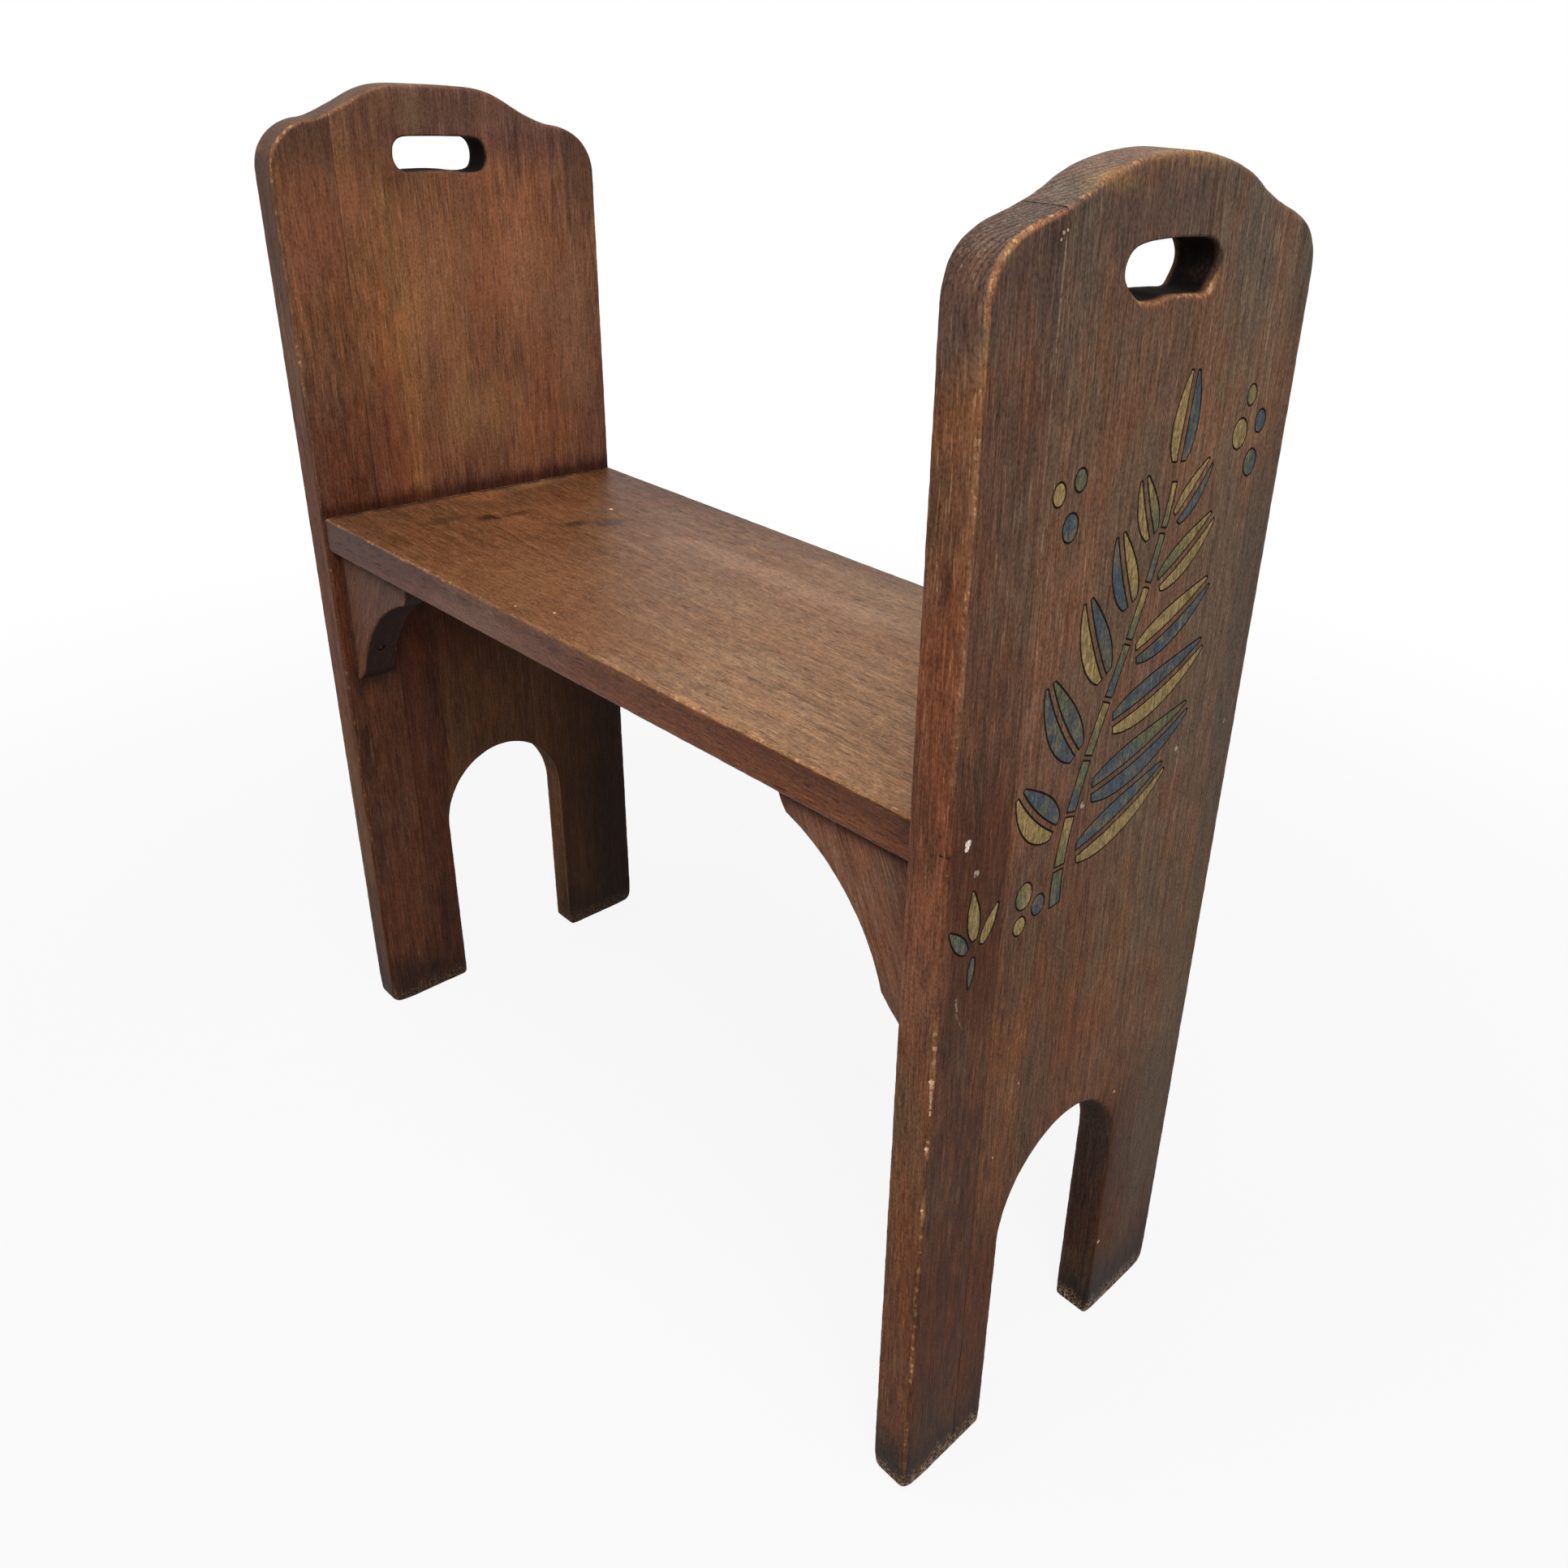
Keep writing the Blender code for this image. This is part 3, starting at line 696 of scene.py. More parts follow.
def budCells():
    # the small bud's leaves, each a whole leaf shape about its midrib
    cells = []
    for number, (a, b, length, width, turn) in enumerate(sprig["bud"]):
        rib, across, half = leafSides(np.array([a, b], float), math.radians(turn), length, width, 0, 0.9)
        loop = np.concatenate([rib + across * half, (rib - across * half)[::-1]])
        cells.append((loop, *((gold, gold) if number % 2 == 0 else (blue, green))))
    return cells


def finished(cells):
    # each loop closed, evened out and run anticlockwise
    ready = []
    for loop, first, last in cells:
        loop = evenly(np.concatenate([loop, loop[:1]]), carving["step"])[:-1]
        ready.append((loop if signedArea(loop) > 0 else loop[::-1], first, last))
    return ready


def shifted(loop, distance):
    # the loop moved outward by distance along the mean of its two normals, and less far at a tip
    run = np.roll(loop, -1, axis=0) - loop
    normal = np.stack([run[:, 1], -run[:, 0]], axis=1) / np.hypot(*run.T)[:, None]
    middle = normal + np.roll(normal, 1, axis=0)
    square = np.maximum((middle ** 2).sum(axis=1), 1.6)      # 4 on a straight run, and not under 1.6 at a tip
    return loop + middle / square[:, None] * 2 * distance


def cellColours(points, cells, carved):
    # paint of the cell that holds each point, blended from its foot to its tip, with alpha 0 in bare wood
    colours = np.zeros((len(points), 4))
    for loop, first, last in cells:
        low, high = loop.min(axis=0), loop.max(axis=0)
        near = np.flatnonzero(((points > low) & (points < high)).all(axis=1))
        near = near[isInside(points[near], loop)]
        run = loop[len(loop) // 2] - loop[0]
        share = np.clip(((points[near] - loop[0]) @ run) / (run @ run), 0, 1)[:, None]
        blend = smoothStep(0.15, 0.85, share)
        colours[near] = np.array(first) * (1 - blend) + np.array(last) * blend
    colours[carved > 0.5, 3] = 0
    return colours


# seat and brackets
seatSize = {
    "halfLength": 288.7, "top": 430.0, "thickness": 24.5, "back": 120.0,
    "frontLeft": -118.5, "frontRight": -107.0, "arris": 2.0, "span": 289.0, "longStep": 2.0, "endStep": 6.0,
    "frontWear": 0.26, "backWear": 0.12, "rightWear": 0.22, "wearRise": (-50, 250),      # more wear towards the right
    "nicks": ((-205, 0.5, 7), (40, 0.6, 5), (170, 0.8, 4), (214, 0.6, 3)),   # x, depth, reach
}


def seatFront(x):
    # the front edge runs straight from its place at the left end to its place at the right end
    share = (x + seatSize["span"]) / (2 * seatSize["span"])
    return seatSize["frontLeft"] + (seatSize["frontRight"] - seatSize["frontLeft"]) * share


def seatBoard():
    # four corners, the long edges open and the two ends butted against the panels
    half, back = seatSize["halfLength"], seatSize["back"]
    corners = [(-half, seatFront(-half)), (half, seatFront(half)), (half, back), (-half, back)]
    parts = []
    for number, start in enumerate(corners):
        end = corners[(number + 1) % 4]
        isLong = number % 2 == 0
        step = seatSize["longStep" if isLong else "endStep"]
        parts.append((evenly([start, end], step, margin=4.0), isLong))
    edge = woodLoop(parts, seatSize["arris"], seed=61, waver=0.2)
    edge.add("front", [(x, seatFront(x), height, reach) for x, height, reach in seatSize["nicks"]])
    isFront = edge.points[:, 1] < 0
    rise = seatSize["rightWear"] * isFront * smoothStep(*seatSize["wearRise"], edge.points[:, 0])
    edge.values["wearFront"] = np.where(isFront, seatSize["frontWear"], seatSize["backWear"]) + rise
    board = Board("seatBoard", (0, 0, seatSize["top"]), (1, 0, 0), (0, 1, 0), seatSize["thickness"], [edge])
    board.undulation = 0.16
    board.contactDirtAndShade = 1.0
    board.seed = 9
    return board


# reach along the seat, drop down the end, tip and toe from there to the two noses, hollow of the curve between them
bracketSize = {
    "thickness": 24.5, "arris": 1.2, "swell": 1.0, "corner": (288.7, 405.2), "nailHole": 2.3, "sunk": 0.15,
    "left": {"setback": 7.0, "reach": 98.0, "drop": 103.0, "tip": (8.8, 16.7), "toe": (12.8, 12.1), "hollow": 12.2},
    "right": {"setback": 3.5, "reach": 107.0, "drop": 108.0, "tip": (7.2, 13.5), "toe": (27.1, 22.2), "hollow": 12.9},
}


def bracketBoard(side, end, seed):
    # a flat corner piece: straight along the seat and the end, with two short noses and a hollow between them
    shape, sign = bracketSize[side], 1 if side == "right" else -1
    reach, drop = np.array([shape["reach"], 0.0]), np.array([0.0, -shape["drop"]])
    upper = reach + (-shape["tip"][0], -shape["tip"][1])
    lower = drop + np.array(shape["toe"])
    swell = bracketSize["swell"]
    # each with whether it is open, its step and the margin at its two ends
    curves = [
        (np.array([(0, 0), reach]), False, 3.0, 4.0),
        (bowed(reach, upper, swell), True, 0.8, 3.2),
        (bowed(upper, lower, -shape["hollow"]), True, 0.7, 2.4),
        (bowed(lower, drop, swell), True, 0.8, 3.2),
        (np.array([drop, (0, 0)]), False, 3.0, 4.0),
    ]
    cornerX, cornerZ = bracketSize["corner"]
    parts = []
    for curve, shown, step, margin in curves:
        curve = evenly(curve, step, margin)
        parts.append((np.stack([sign * (cornerX - curve[:, 0]), cornerZ + curve[:, 1]], axis=1), shown))
    edge = woodLoop(parts, bracketSize["arris"], seed, waver=0.25, wear=0.22)
    thickness = bracketSize["thickness"]
    if end == "front":
        front = seatFront(sign * seatSize["span"]) + shape["setback"]
    else:
        front = seatSize["back"] - shape["setback"] - thickness
    board = Board(f"{side}{end.capitalize()}Bracket", (0, front, 0), (1, 0, 0), (0, 0, 1), thickness,
                  [edge], step=4.0, rowStep=0.9)
    node = f"{side}_{end}_bracket_"
    for box, axis, way in ((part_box(node + "seat_nail"), 1, 1), (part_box(node + "panel_nail"), 0, sign)):
        low, high = ((corner[0], corner[2]) for corner in box)
        middle = (low[1 - axis] + high[1 - axis]) / 2 / millimetre
        head = (low if way > 0 else high)[axis] / millimetre
        board.dents.append((axis, middle, bracketSize["nailHole"], head + way * bracketSize["sunk"], way))
    board.undulation = 0.12
    board.contactDirtAndShade = 0.8
    board.seed = seed
    return board


class Wire:
    # a shader's output socket: sums on it add Math nodes, and node() adds any other kind
    def __init__(self, tree, socket=None):
        self.tree, self.socket = tree, socket

    def node(self, kind, settings, sockets, out=0):
        made = self.tree.nodes.new(kind)
        for key, value in settings.items():
            setattr(made, key, value)
        for key, value in sockets.items():
            if isinstance(value, Wire):
                self.tree.links.new(value.socket, made.inputs[key])
            else:
                made.inputs[key].default_value = value
        return Wire(self.tree, made.outputs[out] if len(made.outputs) else None)

    def maths(self, operation, first, second=0.0, clamp=False):
        return self.node("ShaderNodeMath", {"operation": operation, "use_clamp": clamp}, {0: first, 1: second})

    def __add__(self, other):
        return self.maths("ADD", self, other)

    def __sub__(self, other):
        return self.maths("SUBTRACT", self, other)

    def __rsub__(self, other):
        return self.maths("SUBTRACT", other, self)

    def __mul__(self, other):
        return self.maths("MULTIPLY", self, other)

    def __truediv__(self, other):
        return self.maths("DIVIDE", self, other)

    __radd__, __rmul__ = __add__, __mul__

    def clamped(self):
        return self.maths("ADD", self, 0.0, True)

    def step(self, low, high):
        # 0 below low, 1 above high, smooth between
        return self.node("ShaderNodeMapRange", {"interpolation_type": "SMOOTHSTEP"},
                         {"Value": self, "From Min": low, "From Max": high})

    def vector(self, operation, first, second):
        key = 3 if operation == "SCALE" else 1
        return self.node("ShaderNodeVectorMath", {"operation": operation}, {0: first, key: second})

    def noise(self, places, scale, detail=2.0, rough=0.5, out=0):
        # waves a mm, one number or one for each axis
        if isinstance(scale, tuple):
            places, scale = self.vector("MULTIPLY", places, scale), 1.0
        return self.node("ShaderNodeTexNoise", {}, {"Vector": places, "Scale": scale, "Detail": detail,
                                                     "Roughness": rough}, out)

    def mix(self, share, first, second, kind="MIX"):
        return self.node("ShaderNodeMix", {"data_type": "RGBA", "blend_type": kind},
                         {0: share, 6: first, 7: second}, 2)

    def part(self, number):
        # the x, y or z of a vector
        return self.node("ShaderNodeSeparateXYZ", {}, {0: self}, number)

    def measure(self, operation, first, second=(0.0, 0.0, 0.0)):
        # a number from vectors: LENGTH, DISTANCE or DOT_PRODUCT
        return self.node("ShaderNodeVectorMath", {"operation": operation}, {0: first, 1: second}, 1)

    def layer(self, name, out=2):
        # a mesh layer's value, or its colour with out 0 and its alpha with out 3
        return self.node("ShaderNodeAttribute", {"attribute_name": name}, {}, out)

    def millimetres(self):
        # the object's own coordinates in mm
        return self.vector("SCALE", self.node("ShaderNodeTexCoord", {}, {}, 3), 1000.0)


def newTree(name):
    # an empty material, and a Wire that adds nodes to it
    material = bpy.data.materials.new(name)
    material.use_nodes = True
    material.node_tree.nodes.clear()
    return material, Wire(material.node_tree)


def finishTree(graph, bump, height, sockets):
    # the surface shader with its bump, joined to the output
    normal = graph.node("ShaderNodeBump", {}, {"Strength": bump, "Distance": millimetre, "Height": height})
    shader = graph.node("ShaderNodeBsdfPrincipled", {}, {**sockets, "Normal": normal})
    graph.node("ShaderNodeOutputMaterial", {}, {"Surface": shader})


# what every board starts from; each board's own dictionary changes some of it
woodPlain = {
    "turn": (0.0, 0.0, 0.0),           # turns the pattern so that its grain runs along z
    "pith": (60.0, -180.0),            # centre of the rings across the grain, in mm
    "ring": 3.4,                       # width of a ring
    "wobble": 5.0,
    "deep": tone(56, 38, 29), "light": tone(118, 84, 62), "late": tone(48, 32, 24),
    "warm": tone(128, 78, 50), "grey": tone(92, 82, 70), "pale": tone(168, 136, 106),
    "warmShare": 0.35, "greyShare": 0.35, "lateShare": 0.22, "endShare": 0.0, "bodyShare": 1.0, "speckShare": 0.3,
    "poreShare": 0.3, "mottle": 0.5, "streak": 1.1, "fibre": 0.055, "tooth": 1.0, "figure": 0.0,
    "cloudShape": (0.06, 0.06, 0.014), "cloudStreak": 1.2,
    "worn": tone(138, 101, 64), "wornRed": tone(132, 87, 58), "bare": tone(176, 138, 100),
    "wear": 0.85, "wearReach": 2.3,
    # the dark colour of dirt and of painted shade, also used for the pores
    "dirt": tone(18, 13, 11), "dirtShare": 0.3, "footDirt": 0.75, "sole": 0.75,
    "rough": 0.55, "gloss": 0.07, "bump": 0.4, "seed": 0.0,
    "endGrain": (312.6, 655.0, 680.0),     # x near the outer face, and the heights between which end grain comes in
    # faces: ranges of (axis, from, to), colour that multiplies, strength if under 1
    # marks: x, y, z, reach along x, y and z, share, screen colour
    # scratches: x, y, z at the start and at the end, width, share, screen colour
    # spots: x, y, z, size, screen colour
    "faces": (), "marks": (), "scratches": (), "spots": (),
}


def paintOn(graph, places, bent, under, tooth):
    # the paint layer's colour, washed out in patches and thin along the grain, and the share that it covers
    patch = graph.noise(bent, (0.35, 0.35, 0.12), 3.0, 0.6)
    thin = graph.noise(bent, (1.1, 1.1, 0.12), 2.0, 0.6)
    wash = graph.noise(places, (0.11, 0.11, 0.11))
    shade = graph.mix(wash.step(0.48, 0.60) * 0.45, graph.layer("paint", 0), tone(124, 114, 74))
    shade = graph.mix(patch.step(0.3, 0.75) * 0.45, shade, (0.50, 0.46, 0.44, 1.0), "MULTIPLY")
    shade = graph.mix(thin.step(0.42, 0.66) * 0.5, shade, under)
    cover = graph.layer("paint", 3).step(0.45, 0.75) * (1 - thin.step(0.64, 0.78) * 0.55)
    return graph.vector("SCALE", shade, tooth), cover


def woodMaterial(name, changes, painted=False):
    # rings about a far pith, fibres and pores along the grain, clouds of stain, wear by the arris, dirt and painted
    # shade, carving
    look = {**woodPlain, **changes}
    material, graph = newTree(name)
    places = graph.millimetres()
    shift = (look["seed"], look["seed"] * 0.7, look["seed"] * 3)
    turned = graph.node("ShaderNodeMapping", {}, {"Vector": places, "Rotation": look["turn"], "Location": shift})
    wander = graph.noise(turned, (0.012, 0.012, 0.004), 1.0, 0.5, 1)
    wander = graph.vector("SCALE", graph.vector("SUBTRACT", wander, (0.5, 0.5, 0.5)), look["wobble"] * 2)
    bent = graph.vector("ADD", turned, wander)
    u, v = bent.part(0) - look["pith"][0], bent.part(1) - look["pith"][1]
    ripple = graph.noise(turned, (0.08, 0.08, 0.012), 2.0, 0.6)
    phase = graph.maths("FRACT", graph.maths("SQRT", u * u + v * v) / look["ring"] + ripple * 2.2)
    late = phase.step(0.2, 0.85) * (1 - phase.step(0.9, 1.0))

    broad = graph.noise(bent, (0.12, 0.12, 0.005)) - 0.5
    streak = graph.noise(bent, (0.62, 0.62, 0.022), 2.0, 0.6) - 0.5
    fine = graph.noise(bent, (1.05, 1.05, look["fibre"] * 1.1), 1.0) - 0.5
    grit = graph.noise(turned, (0.9, 0.9, 0.5), 1.0, 0.6) - 0.5
    mottle = graph.noise(turned, (0.17, 0.17, 0.05), 3.0, 0.65) - 0.5
    speck = graph.noise(bent, (1.1, 1.1, look["fibre"]), 2.0, 0.6)
    pores = graph.noise(bent, (1.5, 1.5, look["fibre"] * 1.3), 0.0).step(0.66, 0.76)
    cloud = graph.noise(turned, (0.024, 0.024, 0.011), 3.0, 0.6)
    cloudTwo = graph.noise(graph.vector("ADD", turned, (310.0, 90.0, 40.0)), (0.021, 0.021, 0.009), 3.0, 0.6)

    body = (streak * look["streak"] + broad * 1.2 + mottle * look["mottle"]) * look["bodyShare"] + 0.5
    colour = graph.mix(body.clamped(), look["deep"], look["light"])
    colour = graph.mix((cloud + mottle * 0.3).step(0.42, 0.60) * look["warmShare"], colour, look["warm"])
    colour = graph.mix((cloudTwo + mottle * 0.3).step(0.44, 0.62) * look["greyShare"], colour, look["grey"])
    rings = late * look["lateShare"]
    if look["endShare"]:
        # rings show plainly on the end grain along the crest, inside the board's two faces
        face, crestFoot, crestTop = look["endGrain"]
        inside = (face - graph.maths("ABSOLUTE", places.part(0))).step(0.0, 1.2)
        inside = inside * places.part(2).step(crestFoot, crestTop)
        rings = (rings + late * inside * look["endShare"]).clamped()
    colour = graph.mix(rings, colour, look["late"])
    colour = graph.mix(speck.step(0.54, 0.74) * look["speckShare"], colour, look["pale"])
    colour = graph.mix(pores * look["poreShare"], colour, look["dirt"])
    for ranges, tint, *strength in look["faces"]:
        # a stretch of the board, 0 to 1 along each named axis, toned by a colour that multiplies it
        share = strength[0] if strength else 1.0
        for axis, low, high in ranges:
            share = (places.part(axis) + mottle * abs(high - low) * 0.8).step(low, high) * share
        colour = graph.mix(share, colour, (*tint, 1.0), "MULTIPLY")
    for *numbers, share, red, green, blue in look["marks"]:
        # soft stains and painted shadows: darker or lighter clouds about a place
        centre, reach, shade = numbers[:3], numbers[3:], tone(red, green, blue)
        offset = graph.vector("MULTIPLY", graph.vector("SUBTRACT", places, centre), [1 / size for size in reach])
        length = graph.measure("LENGTH", offset)
        cloudy = (graph.noise(turned, look["cloudShape"], 3.0, 0.6) - 0.5) * 1.4
        ragged = length + cloudy + broad * look["cloudStreak"] + mottle * 0.5
        colour = graph.mix((1 - ragged.step(0.25, 1.1)) * share, colour, shade)
    height = streak * 0.08 + fine * 0.07 + grit * 0.04 - pores * 0.12 - late * 0.02
    rough = look["rough"] + (cloud - 0.5) * 0.14 + pores * 0.15

    chips = graph.noise(places, 0.55, 3.0, 0.65)
    chipsWide = graph.noise(places, 0.05, 2.0, 0.5)
    rim, wear, soilAndShade = graph.layer("rim"), graph.layer("wear"), graph.layer("dirt")
    # the layer's dirt, with painted shade in the slot, the arch and along joined edges, darkens the wood
    colour = graph.mix((soilAndShade * (0.75 + chipsWide * 0.6)).clamped(), colour, look["dirt"])
    reach = look["wearReach"] * (0.35 + wear * 0.9 + (chipsWide - 0.5) * 1.0 + mottle * 0.6)
    ground = (wear * (1.5 + (chipsWide - 0.5) * 4 + mottle * 2.5)).step(0.08, 1.0)
    worn = ((1 - rim.step(reach * 0.2, reach)) * ground * (0.85 + (chips - 0.5) * 0.5) * look["wear"]).clamped()
    colour = graph.mix(worn, colour, graph.mix(chipsWide.step(0.42, 0.58), look["worn"], look["wornRed"]))
    flakes = graph.noise(places, 0.22, 3.0, 0.65) + wear * 0.08 + (chipsWide - 0.5) * 0.4
    raw = (1 - rim.step(0.4, 1.7)) * flakes.step(0.60, 0.68)
    colour = graph.mix((raw * wear.step(0.05, 0.4) * look["wear"] * 0.75).clamped(), colour, look["bare"])
    rough = rough + worn * 0.12 + soilAndShade * 0.4

    for *numbers, width, share, red, green, blue in look["scratches"]:
        # |p - (s + clamp(t) d)| for the segment from start to end, thin and broken by noise
        start, end, shade = numbers[:3], numbers[3:], tone(red, green, blue)
        run = [last - first for first, last in zip(start, end)]
        offset = graph.vector("SUBTRACT", places, start)
        along = graph.measure("DOT_PRODUCT", offset, run)
        nearest = graph.vector("SCALE", run, (along / sum(value * value for value in run)).clamped())
        gap = graph.measure("DISTANCE", offset, nearest)
        line = (1 - gap.step(width * 0.35, width)) * chips.step(0.36, 0.52) * share
        colour = graph.mix(line, colour, shade)
        height = height - line * 0.1
    for *centre, size, red, green, blue in look["spots"]:
        # small chips with a ragged edge
        gap, shade = graph.measure("DISTANCE", places, centre), tone(red, green, blue)
        spot = 1 - (gap + (graph.noise(places, 0.9, 2.0, 0.5) - 0.5) * size).step(size * 0.8, size)
        colour = graph.mix(spot, colour, shade)
        height = height - spot * 0.25

    grime = (1 - (places.part(2) + (cloud - 0.5) * 90 + mottle * 60).step(-10.0, 70.0)) * look["footDirt"]
    grime = grime + chips.step(0.58, 0.72) * 0.25 * look["dirtShare"]
    colour = graph.mix(grime.clamped(), colour, look["dirt"])
    scuffed = (1 - (places.part(2) + mottle * 22).step(3.0, 17.0)) * chips.step(0.46, 0.58) * look["sole"]
    colour = graph.mix(scuffed, colour, look["pale"])
    tooth = 1 + (fine * 1.0 + grit * 1.15 + mottle * 0.25) * look["tooth"]
    if look["figure"]:
        # faint ripples across the grain
        tooth = tooth + (graph.noise(turned, (0.045, 0.045, 0.13)) - 0.5) * look["figure"]
    colour = graph.vector("SCALE", colour, tooth)

    if painted:
        shade, cover = paintOn(graph, places, bent, look["deep"], 1 + (grit * 1.6 + fine * 1.2))
        colour = graph.mix(cover, colour, shade)
        colour = graph.mix(graph.layer("groove").step(0.06, 0.32) * 0.95, colour, tone(24, 17, 13))
        rough = rough + cover * 0.08

    finishTree(graph, look["bump"], height, {"Base Color": colour, "Roughness": rough.clamped(),
                                             "Specular IOR Level": look["gloss"]})
    return material


def ironMaterial():
    # dull iron with brown rust in patches
    material, graph = newTree("nailIron")
    places = graph.millimetres()
    rust = graph.noise(places, 0.8, 4.0, 0.65).step(0.42, 0.62)
    grit = graph.noise(places, 3.0, 2.0, 0.6)
    colour = graph.mix(rust, tone(74, 70, 67), tone(86, 52, 34))
    colour = graph.mix(grit * 0.4, colour, tone(28, 24, 22))
    finishTree(graph, 0.4, grit * 0.15 + rust * 0.1, {"Base Color": colour, "Metallic": 1 - rust * 0.8,
                                                      "Roughness": 0.45 + rust * 0.35})
    return material


def puttyMaterial():
    # old filler, grey-brown and cracked, with pale bare specks
    material, graph = newTree("putty")
    places = graph.millimetres()
    patch = graph.noise(places, 0.45, 3.0, 0.6)
    grit = graph.noise(places, 2.4, 3.0, 0.6)
    colour = graph.mix(patch.step(0.4, 0.6), tone(66, 48, 38), tone(176, 158, 140))
    colour = graph.mix(grit.step(0.5, 0.7) * 0.6, colour, tone(40, 30, 24))
    finishTree(graph, 0.5, grit * 0.2, {"Base Color": colour, "Roughness": 0.75 + grit * 0.15})
    return material


# what each end's wear changes: bumps are y, z, height and reach in mm, on its outer (front) or inner (back) arris
rightWear = {
    "base": 0.08, "slotBase": 0.0, "slotArris": 1.3, "archDirtAndShade": 0.62, "shape": {},
    "edge": {
        "wearBack": ((-120, 600, 0.10, 120), (-120, 20, 0.3, 30)), "back": ((-118, 2, 3.0, 11), (53, 2, 0.9, 6)),
        "wearFront": (
            (-120, 610, 0.34, 60), (-118, 668, 0.46, 24), (-98, 687, 0.30, 22), (-50, 702, 0.20, 22),
            (-120, 490, 0.20, 90), (-120, 470, 0.20, 8), (-120, 408, 0.30, 8), (-120, 330, 0.45, 12),
            (-120, 306, 0.60, 9), (-120, 262, 0.50, 7), (-120, 221, 0.40, 7), (-120, 110, 0.35, 22),
            (-120, 190, 0.16, 60), (-120, 40, 0.35, 22), (-112, 681, 0.25, 10), (-120, 8, 0.45, 14),
            (10, 713, 0.10, 45), (120, 5, 0.3, 14), (53, 4, 0.3, 12), (-53, 4, 0.2, 12),
        ),
        "front": (
            (-120, 330, 0.9, 4), (-120, 306, 1.1, 4), (-120, 262, 0.9, 4), (-120, 221, 0.8, 4), (-120, 612, 0.7, 5),
            (-120, 110, 0.6, 5), (-119, 640, 0.6, 8), (-120, 429, 0.9, 2), (-118, 2, 2.2, 10), (120, 2, 1.6, 9),
            (53, 2, 0.9, 6),
        ),
    },
    "slot": (
        (-36.6, 667.5), (-35.2, 672.8), (-30.6, 676.6), (-22, 678.7), (-6, 679.6), (10, 679.6), (23.4, 678.9),
        (30.0, 676.3), (33.8, 671.4), (34.2, 666.2), (30.6, 660.2), (26.3, 656.4), (14, 656.6), (-3, 656.9),
        (-10, 655.6), (-21, 655.6), (-28.6, 658.9), (-34.6, 663.2),
    ),
    "slotEdge": {
        "wearFront": (
            (-24, 656, 0.7, 7), (-12, 655, 0.6, 9), (2, 656, 0.45, 9), (16, 656, 0.6, 9), (28, 658, 0.7, 7),
            (33, 663, 0.5, 5),
        ),
        "front": (
            (-24, 656, 2.0, 7), (-12, 655, 1.2, 8), (4, 656, 0.8, 9), (18, 656, 1.4, 8), (29, 658, 1.9, 6),
            (34, 665, 1.0, 5),
        ),
    },
}
leftWear = {
    "base": 0.10, "slotBase": 0.05, "slotArris": 1.4, "archDirtAndShade": 0.75,
    "slotEdge": {"wearBack": ((10, 659, 0.12, 25),)},
    "shape": {
        "hump": 28.0, "ogee": (55.6, 9.5), "ogeeRun": 20.7, "shoulder": (31.6, 22.9), "shoulderFall": 5.2,
        "shoulderRun": 5.1, "cornerRun": 14.4, "lean": 4.0,
    },
    "edge": {
        "wearFront": ((-120, 640, 0.2, 60), (-120, 20, 0.3, 30)), "front": ((-118, 2, 2.6, 11),),
        "wearBack": (
            (-120, 560, 0.20, 170), (-100, 686, 0.22, 30), (-40, 706, 0.10, 40), (-120, 250, 0.10, 120),
            (-120, 6, 0.4, 14), (53, 4, 0.3, 12),
        ),
        "back": (
            (-120, 540, 0.6, 5), (-120, 300, 0.6, 6), (-118, 2, 2.2, 10), (120, 2, 1.6, 9), (53, 2, 0.9, 6),
        ),
    },
    "slot": (
        (-37.0, 670), (-35.3, 676.4), (-29.4, 680.2), (-15, 681.0), (5, 681.2), (21.8, 680.8), (29.2, 677.8),
        (32.0, 671), (31.2, 663.6), (27.4, 659.3), (18, 658.0), (5, 659.0), (-5, 659.3), (-18, 658.9), (-27.6, 658.4),
        (-33.6, 660.6), (-36.5, 665),
    ),
}
rightFront, rightMain = endBoards("right", ends, rightWear, 31)
leftFront, leftMain = endBoards("left", ends, leftWear, 47)
rightMain.cells = finished(sprigCells())
rightFront.cells = finished(budCells())
seatPiece = seatBoard()
brackets = [bracketBoard(side, end, seed) for side, end, seed in
            (("left", "front", 71), ("left", "back", 73), ("right", "front", 79), ("right", "back", 83))]

darkLine, paleChip = (30, 19, 14), (196, 164, 134)
redEdge, greyCrest = (1.22, 0.95, 0.78), (0.84, 1.04, 1.25)
rightFace, rightSide = (0, 311.6, 313.2), (0, 313.2, 311.6)
leftInside, leftFrontStrip = (0, -292.0, -290.2), (1, -117.0, -119.0)
leftCrest = ((0, -290.4, -292.0), (0, -313.6, -312.4), (2, 655, 680))
seatLine = (leftInside, (2, 442, 433), (2, 421, 430))                     # a darker band on the left end where the seat meets it
outline = endOutline(ends)
crestHalf = outline[(outline[:, 0] >= 0) & (outline[:, 1] > 640)]
seamTop = float(np.interp(ends["seam"], *crestHalf[np.argsort(crestHalf[:, 0])].T))   # height of the seam's top end
seamLines = ((314, -78, 683, 314, -78, 640, 0.75, 0.75, 150, 124, 100),
             (314, -78, 640, 314, -78, 560, 0.6, 0.45, 140, 112, 90),
             (290, -78, seamTop, 313, -78, seamTop, 1.0, 0.9, *darkLine))
